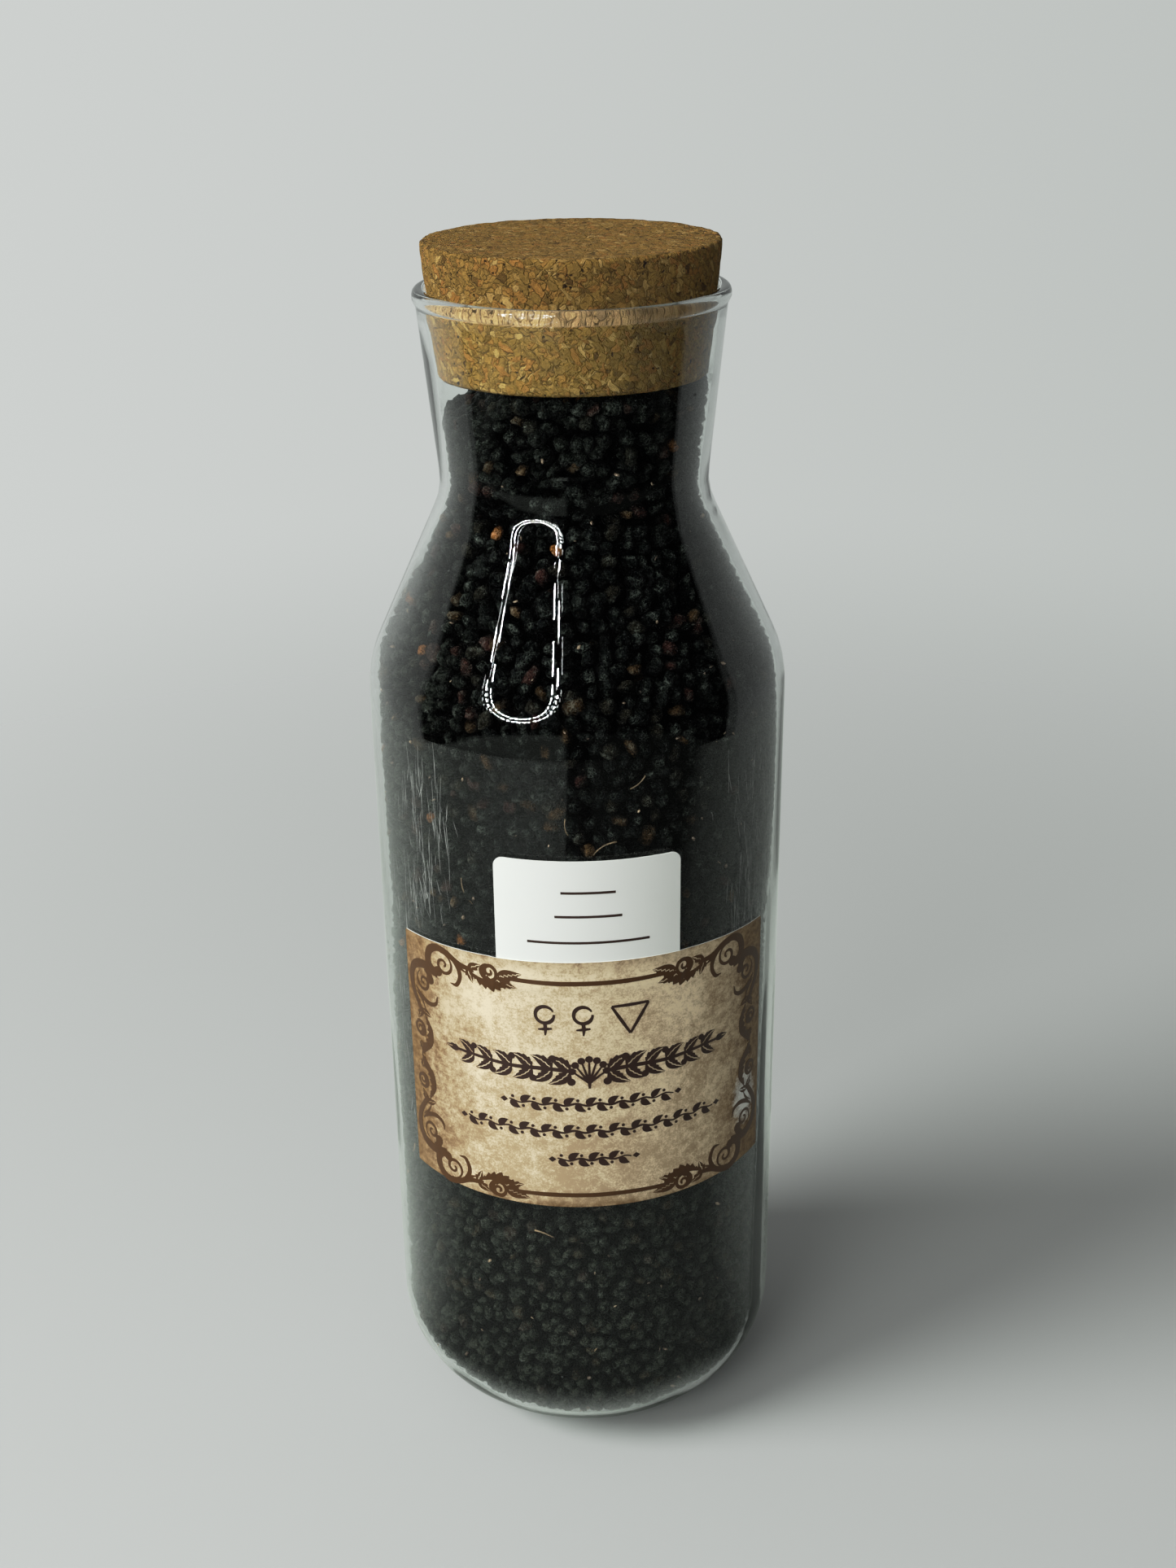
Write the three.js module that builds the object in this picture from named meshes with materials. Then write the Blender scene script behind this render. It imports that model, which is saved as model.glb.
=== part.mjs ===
// A clear glass carafe, closed with a tapered cork and filled with dried elderberries,
// with a small white label and a wide parchment label on its front.
// Millimetres, +Z up. The origin is the centre of the foot and the labels face -Y.

import * as THREE from 'three';

// ---------------------------------------------------------------- driving dimensions

// Glass, on its outside: [radius, height, rounding of that corner].
const BODY_RADIUS = 48;
const FOOT_CORNER = [BODY_RADIUS, 0, 23.8];
const SHOULDER_CORNER = [BODY_RADIUS, 196.4, 27.8];
const WAIST_CORNER = [29.5, 236.1, 15];
const NECK_END = [33.5, 276.2, 0];
const WALL = 2;

// The thickened rim is an ellipse on top of the neck's wall.
const RIM_CENTRE = [32.75, 278.2];
const RIM_HALF_WIDTH = 1.25;
const RIM_HALF_HEIGHT = 1.7;
const RIM_OVERHANG = THREE.MathUtils.degToRad(40);

// Cork
const CORK_BOTTOM = { radius: 29.6, z: 261.9 };
const CORK_TOP = { radius: 32.3, z: 289.6 };
const CORK_BEVEL = 0.4;

// Berries, raised from the fill's surface at about twice their natural size.
const FILL_CLEARANCE = 0.45;
const FILL_TOP = CORK_BOTTOM.z - FILL_CLEARANCE;
const FILL_EDGE_ROUNDING = 4;
const BERRY_STEP = 4.6;
const BERRY_RELIEF = 2.2;
const BERRY_JITTER = 0.14;
const BERRY_SEED = 20;

// On its -X side the heap of berries has settled and leaves a small gap below the cork.
const SETTLED_DEPTH = 7;
const SETTLED_FROM_Z = 236;

// Labels. The angle of a label's centre is measured from -Y towards +X.
const LABEL_CLEARANCE = 0.15;
const PAPER = 0.25;
const PRICE_LABEL = {
  width: 42, height: 30, corner: 2.2, crown: 1.1, angle: 1.95, z: 149.8, tilt: 0,
};
const PARCHMENT_LABEL = {
  width: 98, height: 63, corner: 0.4, crown: 2, angle: 1.7, z: 108, tilt: 0.5,
};
const OVERLAP_MARGIN = 3;

// Facets
const GLASS_SIDES = 48;
const CORK_SIDES = 48;
const ARC_STEP = THREE.MathUtils.degToRad(10);
const LABEL_COLUMN = 3.2;

// ---------------------------------------------------------------- outlines

/** The points of an arc from start, turned about centre by the given angle, both ends included. */
function arcPoints(centre, start, turn) {
  const steps = Math.max(1, Math.ceil(Math.abs(turn) / ARC_STEP));
  return Array.from({ length: steps + 1 }, (_, k) =>
    start.clone().rotateAround(centre, (turn * k) / steps));
}

/** Replaces the corner between before and after with an arc of the given radius. */
function roundCorner(before, corner, after, radius) {
  const back = before.clone().sub(corner).normalize();
  const ahead = after.clone().sub(corner).normalize();
  const half = Math.acos(back.dot(ahead)) / 2;
  const start = corner.clone().addScaledVector(back, radius / Math.tan(half));
  const middle = back.clone().add(ahead).normalize();
  const centre = corner.clone().addScaledVector(middle, radius / Math.sin(half));
  return arcPoints(centre, start, (Math.PI - 2 * half) * Math.sign(ahead.cross(back)));
}

/** The point where two lines cross, each given by a point and a direction. */
function crossing(pointA, alongA, pointB, alongB) {
  const offset = pointB.clone().sub(pointA);
  return pointA.clone().addScaledVector(alongA, offset.cross(alongB) / alongA.cross(alongB));
}

/**
 * The carafe's outline moved inwards by inset, from the axis at the foot to the neck's end.
 * Each straight run is shifted to its left and the shifted runs are joined by round corners.
 */
function wallOutline(inset) {
  const corners = [[0, 0, 0], FOOT_CORNER, SHOULDER_CORNER, WAIST_CORNER, NECK_END];
  const points = corners.map(([r, z]) => new THREE.Vector2(r, z));
  const runs = points.slice(1).map((end, k) => {
    const along = end.clone().sub(points[k]).normalize();
    const inwards = new THREE.Vector2(-along.y, along.x).multiplyScalar(inset);
    return { along, start: points[k].clone().add(inwards), end: end.clone().add(inwards) };
  });
  const moved = [runs[0].start];
  for (let k = 1; k < runs.length; k += 1) {
    moved.push(crossing(runs[k - 1].start, runs[k - 1].along, runs[k].start, runs[k].along));
  }
  moved.push(runs[runs.length - 1].end);
  const outline = [moved[0]];
  for (let k = 1; k < runs.length; k += 1) {
    const turnsLeft = runs[k - 1].along.cross(runs[k].along) > 0;
    const radius = corners[k][2] + (turnsLeft ? -inset : inset);
    outline.push(...roundCorner(moved[k - 1], moved[k], moved[k + 1], radius));
  }
  outline.push(moved[moved.length - 1]);
  return outline;
}

/** Spins an outline of (radius, height) points about the Z axis. */
function spin(outline, sides) {
  return new THREE.LatheGeometry(outline, sides).rotateX(Math.PI / 2);
}

// ---------------------------------------------------------------- glass and cork

function glassGeometry() {
  const turn = Math.PI + 2 * RIM_OVERHANG;
  const rim = arcPoints(
    new THREE.Vector2(0, 0),
    new THREE.Vector2(1, 0).rotateAround(new THREE.Vector2(0, 0), -RIM_OVERHANG),
    turn,
  ).map((p) => new THREE.Vector2(
    RIM_CENTRE[0] + p.x * RIM_HALF_WIDTH,
    RIM_CENTRE[1] + p.y * RIM_HALF_HEIGHT,
  ));
  return spin([...wallOutline(0), ...rim, ...wallOutline(WALL).reverse()], GLASS_SIDES);
}

function corkGeometry() {
  const { radius: low, z: bottom } = CORK_BOTTOM;
  const { radius: high, z: top } = CORK_TOP;
  const outline = [
    [0, bottom], [low - CORK_BEVEL, bottom], [low, bottom + CORK_BEVEL],
    [high, top - CORK_BEVEL], [high - CORK_BEVEL, top], [0, top],
  ];
  return spin(outline.map(([r, z]) => new THREE.Vector2(r, z)), CORK_SIDES);
}

// ---------------------------------------------------------------- berries

/** A small seeded generator of numbers from 0 to 1. */
function seededRandom(seed) {
  let state = seed;
  return () => {
    state = (state + 0x6d2b79f5) | 0;
    let t = Math.imul(state ^ (state >>> 15), 1 | state);
    t = (t + Math.imul(t ^ (t >>> 7), 61 | t)) ^ t;
    return ((t ^ (t >>> 14)) >>> 0) / 4294967296;
  };
}

/** The heap's outline: along the glass to the fill's top, round its edge and in to the axis. */
function fillOutline() {
  const wall = wallOutline(WALL + FILL_CLEARANCE);
  const neckEnd = wall.pop();
  const neckStart = wall[wall.length - 1];
  const share = (FILL_TOP - neckStart.y) / (neckEnd.y - neckStart.y);
  const edge = neckStart.clone().lerp(neckEnd, share);
  const middle = new THREE.Vector2(0, FILL_TOP);
  return [...wall, ...roundCorner(neckStart, edge, middle, FILL_EDGE_ROUNDING), middle];
}

/** Joins two rings of vertices, each running once round the axis, with a band of triangles. */
function stitch(lower, upper) {
  const faces = [];
  let i = 0;
  let j = 0;
  while (i < lower.length || j < upper.length) {
    const lowerNext = (i + 1) / lower.length;
    const upperNext = (j + 1) / upper.length;
    const a = lower[i % lower.length];
    const b = upper[j % upper.length];
    if (j >= upper.length || (i < lower.length && lowerNext <= upperNext)) {
      faces.push([a, lower[(i + 1) % lower.length], b]);
      i += 1;
    } else {
      faces.push([a, upper[(j + 1) % upper.length], b]);
      j += 1;
    }
  }
  return faces;
}

/** Picks berry tops so that no two of them share an edge. */
function chooseTops(count, faces) {
  const neighbours = Array.from({ length: count }, () => new Set());
  faces.forEach(([a, b, c]) => {
    neighbours[a].add(b).add(c);
    neighbours[b].add(a).add(c);
    neighbours[c].add(a).add(b);
  });
  const isTop = new Array(count).fill(false);
  for (let v = 0; v < count; v += 1) {
    isTop[v] = ![...neighbours[v]].some((n) => isTop[n]);
  }
  return isTop;
}

/** Lowers the heap near its top on the -X side, and keeps it inside the flared neck. */
function settle(point) {
  const r = Math.hypot(point.x, point.y);
  const neckFlare = (NECK_END[0] - WAIST_CORNER[0]) / (NECK_END[1] - WAIST_CORNER[1]);
  const side = THREE.MathUtils.smoothstep(-point.x, 0, WAIST_CORNER[0]);
  const rise = THREE.MathUtils.smoothstep(point.z, SETTLED_FROM_Z, FILL_TOP);
  const drop = SETTLED_DEPTH * side * rise;
  const inwards = r > 0 ? (r - neckFlare * drop) / r : 1;
  return new THREE.Vector3(point.x * inwards, point.y * inwards, point.z - drop);
}

/**
 * The heap of berries: rings of evenly spaced vertices follow its outline, every vertex that is
 * a berry's top lies on the outline and the vertices between the berries are sunk below it.
 */
function berryGeometry() {
  const random = seededRandom(BERRY_SEED);
  const outline = new THREE.CurvePath();
  const corners = fillOutline();
  corners.slice(1).forEach((end, k) => outline.add(new THREE.LineCurve(corners[k], end)));
  const length = outline.getLength();
  const rows = Math.round(length / (BERRY_STEP * Math.sin(Math.PI / 3)));

  const vertices = [];
  const rings = [];
  for (let row = 0; row <= rows; row += 1) {
    const isPole = row === 0 || row === rows;
    const radius = outline.getPointAt(row / rows).x;
    const count = isPole ? 1 : Math.max(6, Math.round((2 * Math.PI * radius) / BERRY_STEP));
    const ring = [];
    for (let k = 0; k < count; k += 1) {
      const slip = isPole ? 0 : BERRY_JITTER * (random() - 0.5);
      const along = (row + slip) / rows;
      const place = outline.getPointAt(along);
      const heading = outline.getTangentAt(along);
      const turn = (k + (row % 2) / 2 + BERRY_JITTER * (random() - 0.5)) / count;
      ring.push(vertices.length);
      vertices.push({ place, heading, angle: 2 * Math.PI * turn, depth: random() });
    }
    rings.push(ring);
  }
  const faces = rings.slice(1).flatMap((ring, k) => stitch(rings[k], ring))
    .filter(([a, b, c]) => a !== b && b !== c && c !== a);
  const isTop = chooseTops(vertices.length, faces);

  const positions = vertices.flatMap(({ place, heading, angle, depth }, v) => {
    const sunk = isTop[v] ? 0.25 * BERRY_RELIEF * depth : BERRY_RELIEF * (0.75 + 0.5 * depth);
    const r = Math.max(0, place.x - heading.y * sunk);
    const z = place.y + heading.x * sunk;
    const point = new THREE.Vector3(r * Math.cos(angle), r * Math.sin(angle), z);
    return settle(point).toArray();
  });
  const geometry = new THREE.BufferGeometry();
  geometry.setAttribute('position', new THREE.Float32BufferAttribute(positions, 3));
  geometry.setIndex(faces.flat());
  return geometry;
}

// ---------------------------------------------------------------- labels

/** How far a label's corner rounding takes its edge in, at u along a side of half-length half. */
function cornerDrop(u, half, corner) {
  const past = Math.max(0, Math.abs(u) - (half - corner));
  return corner - Math.sqrt(Math.max(0, corner * corner - past * past));
}

/** Evenly spaced stations from -half to half, with extra ones round each corner. */
function columnStations(half, corner) {
  const straight = half - corner;
  const count = Math.ceil((2 * straight) / LABEL_COLUMN);
  const middle = Array.from({ length: count + 1 }, (_, k) => straight * ((2 * k) / count - 1));
  const ends = [0.5, 0.87, 1].map((share) => straight + corner * share);
  return [...ends.map((u) => -u).reverse(), ...middle, ...ends];
}

/** Where a label's flat point (u, v) goes: its angle about the axis and its height. */
function onGlass(label, u, v, radius) {
  const tilt = THREE.MathUtils.degToRad(label.tilt);
  const across = u * Math.cos(tilt) - v * Math.sin(tilt);
  const up = u * Math.sin(tilt) + v * Math.cos(tilt);
  const centre = THREE.MathUtils.degToRad(label.angle);
  return { angle: centre + across / radius, z: label.z + up };
}

/**
 * A sheet of paper wrapped round the glass. Its top edge is a little higher in the middle than at
 * its ends (the crown). lift(angle, z) raises it off the glass where it covers another label.
 */
function labelGeometry(label, lift) {
  const halfWidth = label.width / 2;
  const halfHeight = label.height / 2;
  const inner = BODY_RADIUS + LABEL_CLEARANCE;
  const columns = columnStations(halfWidth, label.corner);
  const rows = [-1, -0.5, 0, 0.5, 0.72, 0.8, 0.88, 1];
  const positions = [];
  for (const sheet of [PAPER, 0]) {
    for (const u of columns) {
      const reach = halfHeight - cornerDrop(u, halfWidth, label.corner);
      for (const share of rows) {
        const crown = label.crown * (1 - (u / halfWidth) ** 2) * ((share + 1) / 2);
        const { angle, z } = onGlass(label, u, share * reach + crown, inner);
        const r = inner + sheet + lift(angle, z);
        positions.push(r * Math.sin(angle), -r * Math.cos(angle), z);
      }
    }
  }
  const n = rows.length;
  const sheetSize = columns.length * n;
  const faces = [];
  const quad = (a, b, c, d) => faces.push(a, b, c, a, c, d);
  for (let i = 0; i + 1 < columns.length; i += 1) {
    for (let j = 0; j + 1 < n; j += 1) {
      const corner = [i * n + j, (i + 1) * n + j, (i + 1) * n + j + 1, i * n + j + 1];
      quad(...corner);
      quad(...corner.map((v) => v + sheetSize).reverse());
    }
    for (const [j, outwards] of [[0, true], [n - 1, false]]) {
      const edge = [i * n + j, (i + 1) * n + j];
      const [a, b] = outwards ? edge.reverse() : edge;
      quad(a, b, b + sheetSize, a + sheetSize);
    }
  }
  for (let j = 0; j + 1 < n; j += 1) {
    const last = (columns.length - 1) * n + j;
    quad(j, j + 1, j + 1 + sheetSize, j + sheetSize);
    quad(last + 1, last, last + sheetSize, last + 1 + sheetSize);
  }
  const geometry = new THREE.BufferGeometry();
  geometry.setAttribute('position', new THREE.Float32BufferAttribute(positions, 3));
  geometry.setIndex(faces);
  return geometry;
}

/** Full over the white label and a margin round it, then back to the glass in as much again. */
function liftOverPriceLabel(angle, z) {
  const across = Math.abs(angle - THREE.MathUtils.degToRad(PRICE_LABEL.angle)) * BODY_RADIUS;
  const below = PRICE_LABEL.z - PRICE_LABEL.height / 2 - z;
  const fade = (distance) =>
    1 - THREE.MathUtils.clamp((distance - OVERLAP_MARGIN) / OVERLAP_MARGIN, 0, 1);
  const share = Math.min(fade(across - PRICE_LABEL.width / 2), fade(below));
  return share * (PAPER + LABEL_CLEARANCE);
}

// ---------------------------------------------------------------- the carafe

function piece(name, geometry, material) {
  const mesh = new THREE.Mesh(geometry, new THREE.MeshStandardMaterial(material));
  mesh.name = name;
  return mesh;
}

const carafe = new THREE.Group();
carafe.add(
  piece('glass_carafe', glassGeometry(), {
    color: '#dfe6e3', roughness: 0.05, metalness: 0, transparent: true, opacity: 0.35,
  }),
  piece('cork_stopper', corkGeometry(), { color: '#a8763f', roughness: 0.9, metalness: 0 }),
  piece('berry_fill', berryGeometry(), { color: '#1d1b1d', roughness: 0.6, metalness: 0 }),
  piece('price_label', labelGeometry(PRICE_LABEL, () => 0), {
    color: '#e8ece7', roughness: 0.5, metalness: 0,
  }),
  piece('parchment_label', labelGeometry(PARCHMENT_LABEL, liftOverPriceLabel), {
    color: '#b99c72', roughness: 0.55, metalness: 0,
  }),
);

export default carafe;
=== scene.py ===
"""A clear glass carafe, corked and filled with dried elderberries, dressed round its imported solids.

Everything is in metres, +Z up, with the origin at the centre of the foot and the labels facing -Y.
"""

import math

import bmesh
import bpy
import numpy as np
from bpy.props import FloatProperty, FloatVectorProperty, IntProperty, PointerProperty
from mathutils import Matrix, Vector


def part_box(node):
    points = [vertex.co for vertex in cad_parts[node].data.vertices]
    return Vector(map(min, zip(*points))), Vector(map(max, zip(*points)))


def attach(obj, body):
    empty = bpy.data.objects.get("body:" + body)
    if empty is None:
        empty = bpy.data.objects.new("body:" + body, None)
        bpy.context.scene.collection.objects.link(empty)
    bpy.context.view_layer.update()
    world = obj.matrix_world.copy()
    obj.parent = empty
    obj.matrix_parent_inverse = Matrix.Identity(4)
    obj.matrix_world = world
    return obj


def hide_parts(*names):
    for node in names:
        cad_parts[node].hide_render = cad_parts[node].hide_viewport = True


bl_info = {
    "name": "Corked carafe of dried elderberries",
    "version": (1, 0, 0),
    "blender": (4, 5, 0),
    "location": "View3D > Sidebar > Carafe",
    "description": "Makes the glass, cork, berries and labels of a filled carafe",
    "category": "Object",
}

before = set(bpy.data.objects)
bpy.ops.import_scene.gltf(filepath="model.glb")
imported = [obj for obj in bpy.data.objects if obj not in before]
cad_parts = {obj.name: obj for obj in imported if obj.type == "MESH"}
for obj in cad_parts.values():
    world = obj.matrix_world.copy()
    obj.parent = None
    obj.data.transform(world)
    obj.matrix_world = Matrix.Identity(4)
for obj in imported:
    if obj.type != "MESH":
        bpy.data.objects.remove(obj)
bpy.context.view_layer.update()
GLASS_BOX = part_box("glass_carafe")
CORK_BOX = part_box("cork_stopper")
FILL_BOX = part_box("berry_fill")

MM = 0.001

# The glass thins below the first height, and is at its thinnest the second length further down.
THIN_BELOW, THIN_OVER = 105 * MM, 50 * MM
# The heap sinks above the first height, and on its -X side: from the second length out from the
# axis, and fully the third length further out.
SINK_ABOVE, SINK_FROM, SINK_OVER = 240 * MM, 12 * MM, 15 * MM
# The display curve, as (given, shown) pairs. It holds the highlights softly.
TONE = ((0.0, 0.0), (0.2, 0.2), (0.45, 0.47), (0.7, 0.66), (1.0, 0.82))
# How far back the mirrored dark room's side walls start, for each step sideways.
ROOM_SLOPE = -0.07
# Where the ring lamp hangs and what it faces. How many panels it has, their size, and how far
# outside or inside the loop each row of them lies.
RING_MIDDLE, RING_FACES = (-0.35, -0.56, 0.503), (0, 0, 0.2)
RING_PANELS, PANEL_WIDTH, PANEL_HEIGHT, ROW_OFFSET = 80, 0.021, 0.009, 0.019
# The share of the ring lamp's light that is left once a ray has been scattered.
RING_AFTER_SCATTER = 0.255


# ------------------------------------------------------------------ settings


def length(name, description, default):
    """A setting that is a length in metres."""
    return FloatProperty(
        name=name, description=description, default=default, unit="LENGTH", precision=5,
    )


def tilt(name, description, degrees):
    """A setting that is an angle."""
    return FloatProperty(
        name=name, description=description, default=math.radians(degrees), unit="ROTATION",
    )


def amount(name, description, default):
    """A setting that is a plain number."""
    return FloatProperty(name=name, description=description, default=default)


def colour(name, description, red, green, blue):
    """A setting that is a colour, given as it shows on a screen, from 0 to 255."""
    return FloatVectorProperty(
        name=name, description=description, subtype="COLOR", size=3, min=0, max=1,
        default=[linear(part) for part in (red, green, blue)],
    )


def linear(part):
    """The light value of one screen value from 0 to 255, by the sRGB curve."""
    share = part / 255
    return share / 12.92 if share <= 0.04045 else ((share + 0.055) / 1.055) ** 2.4


class CARAFE_PG_glass(bpy.types.PropertyGroup):
    """Sizes and tint of the blown glass."""

    body_radius: length("Body radius", "Outer radius of the straight body", GLASS_BOX[1].x)
    wall: length("Wall", "Thickness of the glass", 2.0 * MM)
    foot_wall: length("Foot wall", "Thickness of the glass near the foot", 1.3 * MM)
    heel_rounding: length("Heel rounding", "Radius between foot and body", 23.8 * MM)
    shoulder_height: length("Shoulder height", "Height where body and shoulder meet", 196.4 * MM)
    shoulder_rounding: length("Shoulder rounding", "Radius between body and shoulder", 27.8 * MM)
    waist_radius: length("Waist radius", "Radius where shoulder and neck meet", 29.5 * MM)
    waist_height: length("Waist height", "Height where shoulder and neck meet", 236.1 * MM)
    waist_rounding: length("Waist rounding", "Radius between shoulder and neck", 15.0 * MM)
    neck_radius: length("Neck radius", "Radius at the upper end of the neck", 33.5 * MM)
    neck_height: length("Neck height", "Height of the upper end of the neck", 276.2 * MM)
    rim_radius: length("Rim radius", "Radius of the middle of the thickened rim", 32.75 * MM)
    rim_width: length("Rim width", "Half the rim's width", 1.5 * MM)
    rim_height: length("Rim height", "Half the rim's height", 1.7 * MM)
    ripple: length("Ripple", "Depth of the waves in the inner wall", 0.5 * MM)
    tint: colour("Tint", "Colour of the glass", 251, 254, 252)


class CARAFE_PG_cork(bpy.types.PropertyGroup):
    """Finish of the pressed cork."""

    roughening: length("Roughening", "Depth of the uneven surface", 0.28 * MM)
    chip: length("Chip", "Width of one cork chip", 1.7 * MM)
    pale: colour("Pale chips", "Lightest cork", 190, 156, 90)
    brown: colour("Brown chips", "Common cork", 157, 123, 58)
    orange: colour("Orange chips", "Reddish cork", 159, 112, 52)
    dark: colour("Dark chips", "Bark among the cork", 82, 56, 22)
    # Painted light: the paler band of cork where the thick glass rim gathers light onto it.
    painted_rim_light: colour("Rubbed cork", "Paler cork where the glass rim rubs it", 226, 186, 138)
    rim_height: length("Rubbed height", "Height of the rubbed band", 278.0 * MM)


class CARAFE_PG_berries(bpy.types.PropertyGroup):
    """Sizes and colours of the dried berries."""

    diameter: length("Berry diameter", "Mean diameter of a dried berry", 4.2 * MM)
    spacing: length("Spacing", "Distance between berries against the glass", 3.8 * MM)
    second_spacing: length("Second spacing", "Distance between berries of the next layer", 4.4 * MM)
    settled: length("Settled depth", "How far the heap has dropped on its left", 7.0 * MM)
    stalks: IntProperty(name="Stalks", description="Thin stalks among the berries", default=34)
    crumbs: IntProperty(name="Crumbs", description="Small broken bits among the berries", default=420)
    black: colour("Black berries", "Most berries", 3, 4, 4)
    grey: colour("Grey berries", "Berries with a dull bloom", 16, 18, 17)
    umber: colour("Umber berries", "Brownish black berries", 27, 25, 20)
    maroon: colour("Maroon berries", "Reddish black berries", 40, 23, 20)
    brown: colour("Brown berries", "Faded berries", 74, 56, 37)
    rust: colour("Rust berries", "A few unripe berries", 122, 76, 36)
    bloom: colour("Bloom", "Pale ridges of the wrinkled skin", 74, 79, 73)
    # This colour is also mixed in on the heap's -X side, where it is partly painted light.
    dust: colour("Dust", "Fine dust that has gathered low in the heap", 58, 62, 54)


class CARAFE_PG_labels(bpy.types.PropertyGroup):
    """Sizes and colours of the two labels."""

    paper: length("Paper", "Thickness of a label", 0.22 * MM)
    price_width: length("White label width", "Width along the glass", 42.0 * MM)
    price_height: length("White label height", "Height", 31.1 * MM)
    price_middle: length("White label middle", "Height of its middle", 150.35 * MM)
    parchment_width: length("Parchment width", "Width along the glass", 98.0 * MM)
    parchment_height: length("Parchment height", "Height at its ends", 63.0 * MM)
    parchment_middle: length("Parchment middle", "Height of its middle", 108.0 * MM)
    white: colour("White paper", "Colour of the white label", 238, 243, 235)
    cream: colour("Cream parchment", "Lightest parchment", 229, 211, 174)
    tan: colour("Tan parchment", "Stains of the parchment", 172, 150, 116)
    singed: colour("Singed edge", "Darkest edge of the parchment", 92, 62, 28)
    umber: colour("Umber edge", "Lighter part of the browned edge", 134, 106, 64)
    brown_ink: colour("Brown ink", "Ink of the scrolled frame", 72, 45, 18)
    black_ink: colour("Black ink", "Ink of the figures", 50, 32, 25)


class CARAFE_PG_stage(bpy.types.PropertyGroup):
    """Camera, floor and light."""

    camera_distance: length("Camera distance", "Distance from the carafe's axis", 416.4 * MM)
    camera_height: length("Camera height", "Height above the floor", 345.8 * MM)
    camera_pitch: tilt("Pitch", "Downward tilt", 23.69)
    camera_yaw: tilt("Yaw", "Turn to the right", 0.297)
    camera_roll: tilt("Roll", "Turn about the line of sight", -0.729)
    camera_lens: amount("Lens", "Focal length in millimetres", 43.82)
    floor_colour: colour("Floor", "Colour of the floor", 178, 182, 179)
    mirrored_colour: colour("Mirrored floor", "Colour of the floor in reflections", 197, 206, 197)
    floor_mirrored: amount("Mirrored share", "Brightness of the floor in reflections", 0.22)
    floor_solid: length("Solid floor", "Distance from the axis where the floor starts to thin out", 0.14)
    floor_end: length("Floor's end", "Distance from the axis where the floor is gone", 0.85)
    floor_front: length("Floor's front", "Distance from the axis to the floor's reflected front edge", 0.535)
    key_power: amount("Key power", "Power of the soft lamp on the left, in watts", 38.5)
    front_power: amount("Front power", "Power of the soft lamp in front, in watts", 2.2)
    ring_power: amount("Ring power", "Power of the whole ring lamp, in watts", 9.0)
    ring_across: length("Ring across", "Half the ring lamp's width", 0.228)
    ring_up: length("Ring up", "Half the ring lamp's height", 0.234)
    fill: amount("Fill", "Brightness of the light from all round", 0.22)


# ------------------------------------------------------------------ meshes


def make_object(name, vertices, face_groups, smooth=True):
    """A mesh object from an array of points and arrays of faces with three or four corners each."""
    mesh = bpy.data.meshes.new(name)
    mesh.vertices.add(len(vertices))
    mesh.vertices.foreach_set("co", np.asarray(vertices, np.float32).ravel())
    corners = np.concatenate([np.asarray(group, np.int32).ravel() for group in face_groups])
    sizes = np.concatenate([np.full(len(group), group.shape[1]) for group in face_groups])
    mesh.loops.add(len(corners))
    mesh.loops.foreach_set("vertex_index", corners)
    mesh.polygons.add(len(sizes))
    mesh.polygons.foreach_set("loop_start", np.concatenate([[0], np.cumsum(sizes)[:-1]]))
    mesh.polygons.foreach_set("use_smooth", np.full(len(sizes), smooth))
    mesh.update(calc_edges=True)
    made = bpy.data.objects.new(name, mesh)
    bpy.context.scene.collection.objects.link(made)
    return made


def add_point_values(made, name, values):
    """Stores one number for each vertex under the given name."""
    attribute = made.data.attributes.new(name, "FLOAT", "POINT")
    attribute.data.foreach_set("value", np.asarray(values, np.float32))


def add_flat_map(made, places):
    """Stores the flat place of each vertex, in millimetres, as the piece's UV map."""
    corner = np.empty(len(made.data.loops), np.int32)
    made.data.loops.foreach_get("vertex_index", corner)
    layer = made.data.uv_layers.new(name="flat")
    layer.data.foreach_set("uv", np.asarray(places, np.float32)[corner].ravel())


def grid_quads(rows, columns, wrap_rows=False, wrap_columns=False):
    """Quads between neighbouring points of a grid whose points are numbered row by row."""
    row = np.arange(rows if wrap_rows else rows - 1)[:, None]
    column = np.arange(columns if wrap_columns else columns - 1)[None, :]
    next_row, next_column = (row + 1) % rows, (column + 1) % columns
    quads = [row * columns + column, row * columns + next_column,
             next_row * columns + next_column, next_row * columns + column]
    return np.stack(quads, -1).reshape(-1, 4)


def spun(profile, sides):
    """Points and faces of an outline turned about the Z axis.

    A point of radius r and height z goes to (r cos a, r sin a, z) at each angle a. The outline
    starts and ends on the axis, and both ends close with a fan.
    """
    profile = np.asarray(profile)
    angle = np.arange(sides) * 2 * np.pi / sides
    radius, height = profile[1:-1, 0:1], profile[1:-1, 1:2]
    rings = np.stack([radius * np.cos(angle), radius * np.sin(angle), height + 0 * angle], -1)
    poles = np.array([[0, 0, profile[0, 1]], [0, 0, profile[-1, 1]]])
    vertices = np.concatenate([rings.reshape(-1, 3), poles])
    count = len(profile) - 2
    side = np.arange(sides)
    following = (side + 1) % sides
    low, high = np.full(sides, count * sides), np.full(sides, count * sides + 1)
    last = (count - 1) * sides
    fans = np.concatenate([np.stack([low, following, side], -1),
                           np.stack([high, last + side, last + following], -1)])
    return vertices, [grid_quads(count, sides, wrap_columns=True), fans]


def swept(sections):
    """Points and faces of a closed section carried along a path, with both ends closed.

    sections has the shape (stations, points round the section, 3).
    """
    stations, around = sections.shape[:2]
    quads = grid_quads(stations, around, wrap_columns=True)
    ring = np.arange(1, around - 1)
    start = np.stack([0 * ring, ring + 1, ring], -1)
    end = np.stack([0 * ring, ring, ring + 1], -1) + (stations - 1) * around
    return sections.reshape(-1, 3), [quads, np.concatenate([start, end])]


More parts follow.
